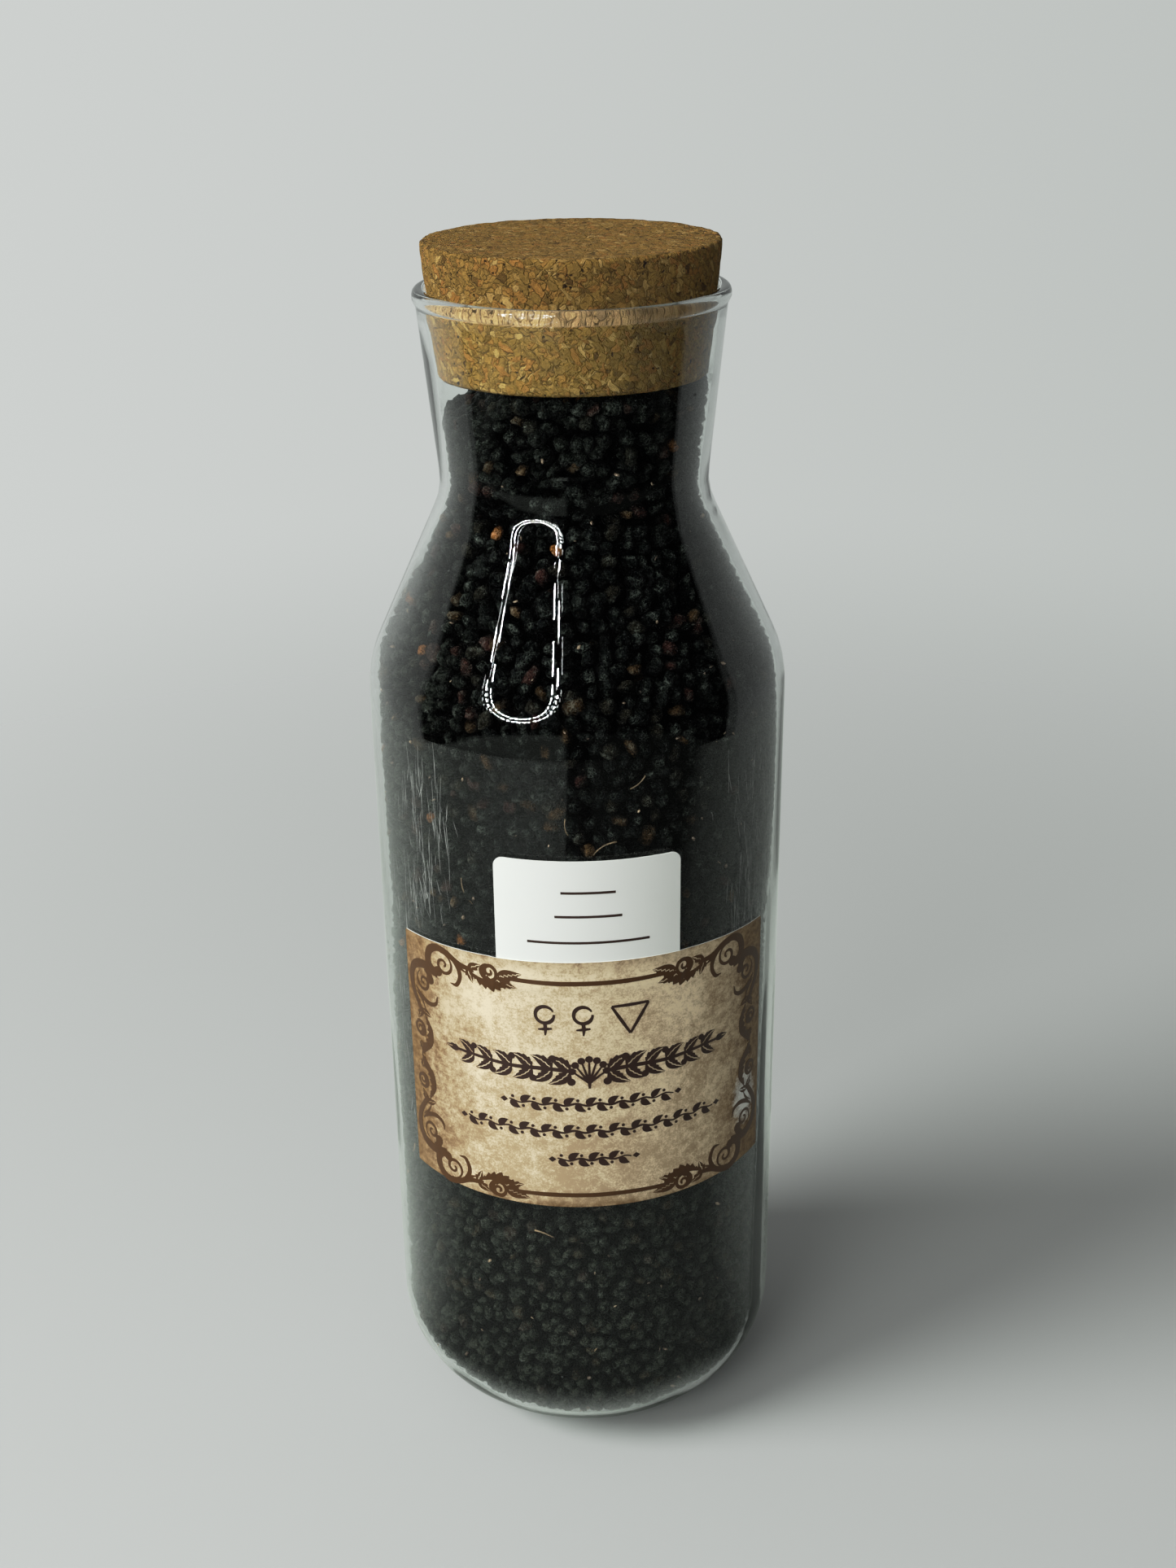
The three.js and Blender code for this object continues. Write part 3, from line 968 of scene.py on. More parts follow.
def scattered(random, glass, inset, spacing):
    """Places and outward directions of berries spread evenly over the heap at a depth.

    Rows follow the outline, each holds as many berries as fit round it, every other row starts
    half a berry further on, and each berry slips a little both ways.
    """
    outline = resampled(heap_outline(glass, inset), 0.25 * MM)
    reach = len(outline) - 1
    rows = int(reach * 0.25 * MM / (spacing * math.sin(math.pi / 3)))
    along = (np.arange(rows) + 0.5) / rows
    radius = np.interp(along * reach, np.arange(reach + 1), outline[:, 0])
    counts = np.maximum(1, np.round(2 * np.pi * radius / spacing)).astype(int)
    row = np.repeat(np.arange(rows), counts)
    number = np.arange(len(row)) - np.repeat(np.cumsum(counts) - counts, counts)
    slip = random.uniform(-0.3, 0.3, (len(row), 2))
    angle = 2 * np.pi * (number + 0.5 * (row % 2) + slip[:, 0]) / counts[row]
    at = np.clip((row + 0.5 + slip[:, 1]) / rows, 0, 1) * reach
    place = followed(outline, at)
    heading = unit_rows(followed(np.gradient(outline, axis=0), at))
    cosine, sine = np.cos(angle), np.sin(angle)
    points = np.column_stack([place[:, 0] * cosine, place[:, 0] * sine, place[:, 1]])
    outwards = np.column_stack([heading[:, 1] * cosine, heading[:, 1] * sine, -heading[:, 0]])
    return points, outwards


def copied(faces, count, corners):
    """The faces of several shapes in a row, each with the same faces and number of corners."""
    return [(faces[None] + np.arange(count)[:, None, None] * corners).reshape(-1, faces.shape[1])]


def berry_template(divisions):
    """The directions and faces of a round berry."""
    shape = bmesh.new()
    bmesh.ops.create_icosphere(shape, subdivisions=divisions, radius=1)
    directions = np.array([vertex.co[:] for vertex in shape.verts])
    faces = np.array([[vertex.index for vertex in face.verts] for face in shape.faces])
    shape.free()
    return directions, faces


def random_turns(random, count):
    """Evenly random rotation matrices, from random unit quaternions."""
    w, x, y, z = unit_rows(random.normal(size=(count, 4))).T
    rows = [
        [1 - 2 * (y * y + z * z), 2 * (x * y - z * w), 2 * (x * z + y * w)],
        [2 * (x * y + z * w), 1 - 2 * (x * x + z * z), 2 * (y * z - x * w)],
        [2 * (x * z - y * w), 2 * (y * z + x * w), 1 - 2 * (x * x + y * y)],
    ]
    return np.stack([np.stack(row, -1) for row in rows], -2)


def wrinkled(random, directions, count):
    """Many shrivelled berries of radius about one.

    Each is a sphere that is squashed along its axes, hollowed by round dents and folded by
    creases along great circles, then turned at random.
    """
    size = np.ones((count, len(directions)))
    for _ in range(5):
        dent = unit_rows(random.normal(size=(count, 3)))
        facing = dent @ directions.T
        size -= random.uniform(0.05, 0.3, (count, 1)) * np.exp(-((1 - facing) / 0.22) ** 2)
    for _ in range(4):
        crease = unit_rows(random.normal(size=(count, 3)))
        size -= random.uniform(0.03, 0.2, (count, 1)) * np.exp(-((crease @ directions.T) / 0.14) ** 2)
    size += random.uniform(-0.11, 0.11, size.shape)
    squash = random.uniform([1.0, 0.84, 0.6], [1.3, 1.1, 1.0], (count, 3))
    shapes = size[:, :, None] * directions * squash[:, None, :]
    return np.einsum("nij,nvj->nvi", random_turns(random, count), shapes)


def stalk(random, middle, outwards):
    """One thin curved stalk lying along the glass, as points of a tube's sections."""
    across = unit_rows(np.cross(outwards, random.normal(size=3)))
    beside = np.cross(outwards, across)
    share = np.linspace(-1, 1, 9)[:, None]
    half = random.uniform(1.6, 3.8) * MM
    line = middle + across * half * share + beside * half * random.uniform(-0.5, 0.5) * share ** 2
    line = line - outwards * 0.12 * half * share ** 2
    ahead = unit_rows(np.gradient(line, axis=0))
    second = np.cross(ahead, outwards)
    angle = np.arange(6) * math.pi / 3
    thick = random.uniform(0.1, 0.18) * MM * (1 - 0.35 * share)
    ring = np.cos(angle)[None, :, None] * outwards + np.sin(angle)[None, :, None] * second[:, None, :]
    return line[:, None, :] + thick[:, None, :] * ring


class CARAFE_OT_berries(bpy.types.Operator):
    """Fill the glass with wrinkled berries, a few stalks and the dark heap behind them"""

    bl_idname = "carafe.berries"
    bl_label = "Berries"

    def execute(self, context):
        glass, berries = context.scene.carafe_glass, context.scene.carafe_berries
        random = np.random.default_rng(7)
        material = berry_material(berries)
        outer = self.make_layer(random, glass, berries, 0.0, berries.spacing, 0.5 * MM, 2)
        names = (
            "berries_heel", "berries_lower", "berries_middle",
            "berries_upper", "berries_shoulder", "berries_neck",
        )
        self.make_berries(names, outer, material)
        inset = 0.8 * berries.diameter
        inner = self.make_layer(random, glass, berries, inset, berries.second_spacing, 1.0 * MM, 1)
        self.make_berries(("berries_second",), inner, material)
        self.make_heap(glass, berries, material)
        self.make_stalks(random, glass, berries)
        self.make_crumbs(random, glass, berries)
        return {"FINISHED"}

    def make_layer(self, random, glass, berries, inset, spacing, slack, divisions):
        """One layer of berries whose outermost points lie at a depth below the glass."""
        places, outwards = scattered(random, glass, inset, spacing)
        directions, faces = berry_template(divisions)
        shapes = wrinkled(random, directions, len(places))
        tints = random.uniform(0, 1, len(places))
        tints -= 0.04 * ((tints > 0.965) & (places[:, 2] < 0.085))
        sizes = random.uniform(0.84, 1.2, len(places)) * np.where(tints > 0.965, 0.82, 1.0)
        shapes *= (berries.diameter / 2 * sizes)[:, None, None]
        proud = np.einsum("nvi,ni->nv", shapes, outwards)
        depth = proud.max(1) + 0.03 * MM + slack * random.uniform(0, 1, len(places)) ** 2
        # Painted shade: how deep each point lies below its berry's outermost point, against the berry's
        # size. The material darkens the deeper points; the next layer lies deep enough to be dark all over.
        hollow_shade = np.clip((depth[:, None] - proud + inset) / (0.62 * berries.diameter), 0, 1)
        places = settled(places - outwards * depth[:, None], berries.settled)
        return shapes + places[:, None, :], places[:, 2], faces, tints, hollow_shade

    def make_berries(self, names, layer, material):
        """Splits a layer by height into pieces."""
        shapes, height, faces, tints, hollow_shade = layer
        corners = shapes.shape[1]
        for name, members in zip(names, np.array_split(np.argsort(height), len(names))):
            vertices = shapes[members].reshape(-1, 3)
            made = make_object(name, vertices, copied(faces, len(members), corners))
            add_point_values(made, "tint", np.repeat(tints[members], corners))
            add_point_values(made, "hollow_shade", hollow_shade[members].ravel())
            dress(made, "dried_berry", material, "berry_fill")

    def make_heap(self, glass, berries, material):
        """The rest of the heap, seen only between the outer berries: a lumpy spun outline in painted deep
        shade.
        """
        profile = resampled(heap_outline(glass, 1.9 * berries.diameter), 1.6 * MM)
        vertices, faces = spun(profile, 150)
        vertices = settled(vertices, berries.settled)
        inwards = unit_rows(np.array([0, 0, 0.13]) - vertices)
        lumps = 0.5 - 0.5 * soft_noise(vertices, 3.0 * MM, 9)
        made = make_object("berries_within", vertices + inwards * (1.6 * MM * lumps)[:, None], faces)
        add_point_values(made, "tint", np.zeros(len(vertices)))
        # Painted shade: the whole heap is darkened as lying deepest.
        add_point_values(made, "hollow_shade", np.ones(len(vertices)))
        dress(made, "dried_berry", material, "berry_fill")

    def make_stalks(self, random, glass, berries):
        points, outwards = scattered(random, glass, 0.5 * MM, 4 * MM)
        wall = np.flatnonzero((points[:, 2] > 12 * MM) & (points[:, 2] < 250 * MM))
        chosen = random.choice(wall, berries.stalks, replace=False)
        shapes = [swept(stalk(random, points[k], outwards[k])) for k in chosen]
        made = make_object("berry_stalks", *joined(shapes))
        dress(made, "dried_berry", stalk_material(), "berry_fill")

    def make_crumbs(self, random, glass, berries):
        """Flat broken bits of skin and stalk against the glass."""
        points, _ = scattered(random, glass, 0.4 * MM, 2 * MM)
        chosen = random.choice(np.flatnonzero(points[:, 2] < 250 * MM), berries.crumbs, replace=False)
        directions, faces = berry_template(1)
        shapes = wrinkled(random, directions * [1, 0.7, 0.35], len(chosen))
        shapes *= random.uniform(0.25, 0.7, (len(chosen), 1, 1)) * MM
        vertices = (shapes + settled(points[chosen], berries.settled)[:, None, :]).reshape(-1, 3)
        made = make_object("berry_crumbs", vertices, copied(faces, len(chosen), len(directions)))
        dress(made, "dried_berry", crumb_material(), "berry_fill")


# ------------------------------------------------------------------ labels


def on_glass(across, up, radius, angle, middle, tilt):
    """Wraps flat places, in metres, round the glass.

    The flat place turns by the tilt, then goes to the angle across / radius from -Y towards +X.
    """
    turned = across * math.cos(tilt) - up * math.sin(tilt)
    risen = across * math.sin(tilt) + up * math.cos(tilt)
    at = angle + turned / (GLASS_BOX[1].x)
    return np.stack([radius * np.sin(at), -radius * np.cos(at), middle + risen], -1)


class Label:
    """The shape of one label: where each flat place of it lies on the glass."""

    def __init__(self, width, height, corner, crown, angle, middle, tilt, base, lift=None):
        self.half_width, self.half_height = width / 2, height / 2
        self.corner, self.crown = corner, crown
        self.angle, self.middle, self.tilt = math.radians(angle), middle, math.radians(tilt)
        self.base, self.lift = base, lift

    def place(self, across, up, above):
        """The point at a flat place, above the glass's surface."""
        radius = GLASS_BOX[1].x + self.base + above
        if self.lift is not None:
            radius = radius + self.lift(across, up)
        return on_glass(across, up, radius, self.angle, self.middle, self.tilt)

    def grid(self, columns, rows):
        """Flat places that fill the label: its ends are rounded and its top edge is crowned."""
        straight = self.half_width - self.corner
        bend = self.corner * np.sin(np.linspace(0, math.pi / 2, 7))[1:]
        ends = straight + bend
        across = np.concatenate([-ends[::-1], np.linspace(-straight, straight, columns), ends])
        past = np.clip(np.abs(across) - straight, 0, self.corner)
        reach = self.half_height - (self.corner - np.sqrt(np.maximum(self.corner ** 2 - past ** 2, 0)))
        share = np.linspace(-1, 1, rows)[:, None]
        crown = self.crown * (1 - (across / self.half_width) ** 2) * (share + 1) / 2
        return np.broadcast_to(across, (rows, len(across))), share * reach, crown

    def solid(self, name, columns, rows, paper):
        across, up, crown = self.grid(columns, rows)
        front, back = (self.place(across, up + crown, height) for height in (paper, 0))
        vertices, faces = sheet(front, back)
        made = make_object(name, vertices, faces)
        made.data.set_sharp_from_angle(angle=math.radians(40))
        flat = np.stack([across, up], -1).reshape(-1, 2) / MM
        add_flat_map(made, np.concatenate([flat, flat]))
        add_point_values(made, "front", np.repeat([1, 0], len(flat)))
        return made


STUCK = 0.03 * MM


def price_label(labels):
    return Label(labels.price_width, labels.price_height, 2.2 * MM, 0.1 * MM, 1.95,
                 labels.price_middle, 0, -STUCK)


def parchment_label(labels):
    """The wide label, which rides up over the white label's lower edge in two smooth steps."""
    price_half, price_low = labels.price_width / 2, labels.price_middle - labels.price_height / 2

    def lift(across, up):
        beside = np.abs(across - 0.2 * MM) - price_half - 0.3 * MM
        below = price_low - 0.3 * MM - (labels.parchment_middle + up)
        rise = [smooth_step(1 - distance / (1.6 * MM)) for distance in (beside, below)]
        return (labels.paper + 0.03 * MM) * np.minimum(*rise)

    return Label(labels.parchment_width, labels.parchment_height, 0.5 * MM, 2.0 * MM, 1.7,
                 labels.parchment_middle, 0.5, -STUCK, lift)


# How thick the ink is, how far it reaches into the paper, and how much higher each stroke is than
# the last, which starts again after so many strokes.
INK, INK_ROOT, INK_STEP, INK_STEPS = 0.045 * MM, 0.02 * MM, 0.0004 * MM, 40


def curve_through(points, count):
    """A smooth line through a few points: a Catmull-Rom curve, evenly stepped in its parameter."""
    points = np.asarray(points, float)
    ends = np.concatenate([[2 * points[0] - points[1]], points, [2 * points[-1] - points[-2]]])
    at = np.linspace(0, len(points) - 1, count)
    piece = np.minimum(at.astype(int), len(points) - 2)
    t = (at - piece)[:, None]
    a, b, c, d = (ends[piece + k] for k in range(4))
    bending, twisting = 2 * a - 5 * b + 4 * c - d, 3 * b - a - 3 * c + d
    return 0.5 * (2 * b + (c - a) * t + bending * t ** 2 + twisting * t ** 3)


def spiral(centre, start_radius, end_radius, start_angle, turns, count=40):
    """A line that winds in: its radius falls evenly with its angle. Angles are in degrees."""
    share = np.linspace(0, 1, count)
    radius = start_radius + (end_radius - start_radius) * share
    angle = np.radians(start_angle) + 2 * np.pi * turns * share
    return np.asarray(centre) + np.stack([radius * np.cos(angle), radius * np.sin(angle)], -1)


def brush(line, widths, teeth=0, depth=0.0):
    """Both edges of a brushed stroke, in millimetres.

    The half width runs through the given widths, and teeth cut a saw's edge into its left side.
    """
    line = np.asarray(line, float)
    share = np.linspace(0, 1, len(line))
    half = np.maximum(np.interp(share, np.linspace(0, 1, len(widths)), widths), 0.03)
    ahead = unit_rows(np.gradient(line, axis=0))
    left = np.stack([-ahead[:, 1], ahead[:, 0]], -1)
    notch = 1 + depth * (((share * teeth) % 1.0) - 0.5) if teeth else 1.0
    return line + left * (half * notch)[:, None], line - left * half[:, None]


def curl(points, count, widths, teeth=0, depth=0.0):
    """A brushed stroke along a smooth line through a few points."""
    return brush(curve_through(points, count), widths, teeth, depth)


def disc(centre, radius):
    """Both edges of a round dot, as a stroke as long as it is wide."""
    angle = np.linspace(-math.pi / 2, math.pi / 2, 15)
    across, half = radius * np.sin(angle), radius * np.cos(angle)
    middle = np.asarray(centre)
    edge = np.stack([across, np.maximum(half, 0.02)], -1)
    return middle + edge, middle + edge * np.array([1, -1])


def leaf(base, tip, width, teeth=0, depth=0.0, bend=0.0):
    """Both edges of a pointed leaf from base to tip, widest a third of the way along."""
    base, tip = np.asarray(base, float), np.asarray(tip, float)
    share = np.linspace(0, 1, 25)[:, None]
    side = np.array([-(tip - base)[1], (tip - base)[0]])
    line = base + (tip - base) * share + side * bend * 4 * share * (1 - share)
    return brush(line, width * np.sin(np.pi * np.linspace(0, 1, 25) ** 0.7), teeth, depth)


def veined(base, tip, width, teeth=0, depth=0.0, bend=0.0):
    """A leaf in two halves, with a gap for its vein."""
    left, right = leaf(base, tip, width, teeth, depth, bend)
    middle = 0.5 * (left + right)
    half = np.linalg.norm(left - right, axis=1, keepdims=True) / 2
    gap = unit_rows(left - right) * np.minimum(0.13, 0.5 * half)
    return [(left, middle + gap), (middle - gap, right)]


def scroll_corner():
    """A quarter of the scrolled frame, for the corner where both places are positive."""
    return [
        curl([(0, 28.2), (8, 28.2), (17.5, 28.4)], 30, [0.56, 0.56, 0.5]),
        *veined((20.6, 28.2), (14.6, 29.9), 1.6, 6, 0.9),
        *veined((21.6, 27.6), (16.0, 26.2), 1.3, 5, 0.8),
        curl([(27.0, 27.6), (24.0, 26.0), (20.4, 25.9), (17.3, 27.9)], 40,
             [0.25, 0.8, 1.25, 0.9, 0.1], 7, 0.9),
        curl([(26.4, 27.2), (23.6, 26.7), (20.6, 26.9)], 24, [0.1, 0.3, 0.1]),
        brush(spiral((22.4, 29.2), 2.3, 1.7, -150, 0.62), [0.2, 0.65, 0.75, 0.2], 5, 0.7),
        brush(spiral((22.4, 29.2), 2.2, 0.3, -60, -1.5), [0.15, 0.5, 0.35, 0.3]),
        *veined((28.0, 28.6), (24.6, 30.4), 1.1, 3, 0.6),
        *veined((28.2, 28.8), (26.8, 25.2), 1.0, 2, 0.5),
        curl([(26.6, 28.4), (30.5, 29.0), (34.0, 30.7), (37.2, 31.1),
              (39.6, 29.6), (40.3, 27.0), (39.4, 24.9), (37.2, 24.3)], 70,
             [0.5, 0.7, 0.75, 0.9, 1.0, 1.0, 1.25, 1.2]),
        disc((37.0, 25.0), 1.25),
        brush(spiral((35.2, 27.3), 3.0, 0.35, 75, 1.45), [0.1, 0.4, 0.42, 0.3, 0.28]),
        curl([(33.6, 30.2), (31.2, 28.6), (30.3, 25.9), (31.4, 23.4), (33.2, 23.3)], 40,
             [0.15, 0.65, 0.55, 0.5, 0.1]),
        curl([(32.4, 29.8), (30.0, 28.0), (28.3, 27.2)], 20, [0.1, 0.35, 0.1]),
        curl([(38.8, 23.8), (41.0, 24.9), (43.8, 24.6), (46.2, 23.0),
              (47.2, 20.0), (46.6, 16.6), (44.8, 13.6), (43.4, 11.4)], 70,
             [0.5, 1.1, 1.15, 1.0, 0.9, 0.8, 0.7, 0.5]),
        disc((39.9, 21.8), 1.25),
        curl([(41.4, 24.2), (40.3, 23.2), (39.8, 21.8)], 16, [0.9, 1.0, 0.9]),
        brush(spiral((42.4, 20.3), 2.7, 0.3, 60, -1.45), [0.1, 0.38, 0.4, 0.3, 0.26]),
        curl([(45.6, 18.0), (43.2, 16.0), (40.4, 15.2), (38.3, 16.0), (37.7, 18.0)], 40,
             [0.15, 0.6, 0.6, 0.45, 0.1]),
        curl([(45.4, 16.8), (43.2, 14.9), (42.2, 13.0)], 20, [0.1, 0.32, 0.1]),
        *veined((43.6, 12.6), (40.2, 11.6), 0.9, 2, 0.5),
        *veined((43.4, 13.0), (45.2, 9.6), 1.0, 3, 0.6),
        curl([(42.4, 11.0), (40.9, 8.0), (41.3, 4.6), (43.4, 2.0), (44.6, 0.0)], 44,
             [0.3, 0.85, 1.15, 0.9, 0.15], 7, 0.9),
        brush(spiral((44.9, 7.0), 2.0, 1.6, 60, 0.62), [0.2, 0.55, 0.65, 0.2], 5, 0.7),
        brush(spiral((44.9, 7.0), 1.9, 0.3, 150, -1.5), [0.15, 0.42, 0.3, 0.26]),
        *veined((44.9, 3.6), (43.6, 0.2), 0.9, 4, 0.8),
    ]


def mirrored(strokes, across, up):
    """Strokes turned over to another corner. The edges swap where that turns them inside out."""
    turned = np.array([across, up])
    flipped = across * up < 0
    return [(b * turned, a * turned) if flipped else (a * turned, b * turned) for a, b in strokes]


def venus_figure(centre_across, centre_up):
    """A ring over a cross: a traditional planet sign, drawn with an uneven pen."""
    radius = 2.1
    middle, low = centre_across, centre_up - radius
    ring = spiral((middle, centre_up), radius, radius, 25, 0.94, 40)
    upright = [(middle, low), (middle + 0.1, low - 1.6), (middle, low - 3.2)]
    crossing = [(middle - 1.6, low - 1.7), (middle + 1.6, low - 1.4)]
    return [
        brush(ring, [0.2, 0.42, 0.5, 0.36, 0.4, 0.5, 0.26]),
        curl(upright, 12, [0.44, 0.42, 0.18]),
        curl(crossing, 8, [0.18, 0.42, 0.22]),
    ]


def triangle_figure():
    """A triangle on its point: a traditional sign of water."""
    corners = [(5.3, 21.8), (13.8, 22.0), (9.5, 14.6), (5.3, 21.8)]
    return [brush(np.linspace(a, b, 12), [0.3, 0.42, 0.3]) for a, b in zip(corners, corners[1:])]


def sprig(side):
    """Half of a leafy branch: pairs of bold leaves along a waved stem, a berry beside each pair."""
    stem = curve_through([(3.0, 5.4), (10, 6.0), (18, 5.9), (26, 6.4), (33.6, 6.6)], 61)
    strokes = [brush(stem, [0.5, 0.5, 0.42, 0.3])]
    for number, at in enumerate(range(3, 55, 9)):
        base = stem[at]
        size = 1.0 - 0.04 * number
        for upward in (1, -1):
            tip = base + np.array([5.0, 3.5 * upward]) * size
            strokes += veined(base, tip, 1.45 * size, 5, 0.35, bend=0.1 * upward)
        upward = 1 if number % 2 else -1
        fruit = base + np.array([-0.3, 2.9 * upward]) * size
        strokes += [brush(np.linspace(base, fruit, 6), [0.22, 0.18]), disc(fruit, 0.95 * size)]
    strokes += veined(stem[56], (35.4, 6.8), 0.9, 3, 0.35)
    return mirrored(strokes, side, 1)


def umbel():
    """The middle of the branch: a flat-topped spray of stalks with a berry on each."""
    strokes = []
    for number in range(7):
        angle = math.radians(12 + number * 26)
        base = np.array([0.0, 2.4])
        tip = base + np.array([4.0 * math.cos(angle), 2.2 + 4.0 * math.sin(angle)])
        strokes.append(brush(np.linspace(base, tip, 8), [0.36, 0.2]))
        strokes.append(disc(tip, 0.88))
    strokes.append(brush(np.linspace((0, 0.9), (0, 3.0), 5), [0.25, 0.5]))
    return strokes


def vine(up, start, end):
    """A running vine: a waved stem with leaves on both sides by turns, and a lozenge at each end."""
    count = max(2, round((end - start) / 2.6))
    places = np.linspace(start + 1.6, end - 1.6, count)
    across = np.linspace(start + 1.2, end - 1.2, 12 * count)
    line = np.stack([across, up + 0.3 * np.sin((across - start) * np.pi / 2.6)], -1)
    strokes = [brush(line, [0.16, 0.28, 0.28, 0.16])]
    for number, place in enumerate(places[:-1]):
        upward = 1 if number % 2 else -1
        base = np.array([place, up])
        strokes.append(leaf(base, base + np.array([2.4, 1.75 * upward]), 0.85, bend=0.1 * upward))
        strokes.append(disc(base + np.array([0.5, -1.1 * upward]), 0.4))
    for place in (start, end):
        middle = np.array([place, up])
        strokes.append(brush(np.linspace(middle - [0.9, 0], middle + [0.9, 0], 9), [0.03, 0.75, 0.03]))
    return strokes


def printed(name, label, strokes, paper):
    """Strokes printed on a label as one thin raised piece, each a hair higher than the last."""
    shapes = []
    for number, (left, right) in enumerate(strokes):
        above = paper + INK + INK_STEP * (number % INK_STEPS)
        below = paper - INK_ROOT
        edges = [(right, below), (right, above), (left, above), (left, below)]
        points = [label.place(edge[:, 0] * MM, edge[:, 1] * MM, height) for edge, height in edges]
        shapes.append(swept(np.stack(points, 1)))
    return make_object(name, *joined(shapes), smooth=False)


class CARAFE_OT_labels(bpy.types.Operator):
    """Stick on both labels and print them"""

    bl_idname = "carafe.labels"
    bl_label = "Labels"

    def execute(self, context):
        labels = context.scene.carafe_labels
        price, parchment = price_label(labels), parchment_label(labels)
        white = price.solid("white_label", 60, 24, labels.paper)
        dress(white, "white_paper", white_paper_material(labels), "price_label")
        rules = [brush(np.linspace((-half, up), (half, up), 30), [0.3, 0.3])
                 for half, up in ((6.0, 8.1), (7.4, 2.3), (13.6, -4.1))]
        lines = printed("white_label_lines", price, rules, labels.paper)
        dress(lines, "white_paper", ink_material("grey_ink", labels.black_ink))
        wide = parchment.solid("parchment_sheet", 150, 70, labels.paper)
        dress(wide, "parchment_paper", parchment_material(labels), "parchment_label")
        quarter = scroll_corner()
        corners = [(across, up) for across in (1, -1) for up in (1, -1)]
        scrolls = [stroke for corner in corners for stroke in mirrored(quarter, *corner)]
        frame_ink = printed("parchment_scrolls", parchment, scrolls, labels.paper)
        dress(frame_ink, "parchment_paper", ink_material("brown_ink", labels.brown_ink))
        figures = venus_figure(-9.7, 20.0) + venus_figure(-1.1, 20.0) + triangle_figure()
        figures += sprig(1) + sprig(-1) + umbel()
        figures += vine(-3.4, -20.0, 21.0) + vine(-10.7, -31.0, 32.0) + vine(-18.3, -9.0, 10.5)
        figure_ink = printed("parchment_figures", parchment, figures, labels.paper)
        dress(figure_ink, "parchment_paper", ink_material("black_ink", labels.black_ink))
        return {"FINISHED"}


# ------------------------------------------------------------------ stage


def camera_axes(stage):
    """The camera's right, up and backward directions from its yaw, pitch and roll."""
    yaw, pitch, roll = stage.camera_yaw, stage.camera_pitch, stage.camera_roll
    forward, downward = math.cos(pitch), math.sin(pitch)
    ahead = np.array([math.sin(yaw) * forward, math.cos(yaw) * forward, -downward])
    level = np.array([math.cos(yaw), -math.sin(yaw), 0])
    above = np.cross(level, ahead)
    right = math.cos(roll) * level + math.sin(roll) * above
    up = -math.sin(roll) * level + math.cos(roll) * above
    return right, up, -ahead


def place_lamp(lamp, place, target, above):
    """Puts a lamp in the scene: it shines towards target, with its own Y axis nearest to above."""
    backwards = unit(place - target)
    across = unit(np.cross(above, backwards))
    axes = np.identity(4)
    axes[:3, 0], axes[:3, 1], axes[:3, 2] = across, np.cross(backwards, across), backwards
    axes[:3, 3] = place
    lamp.matrix_world = Matrix(axes)
    bpy.context.scene.collection.objects.link(lamp)


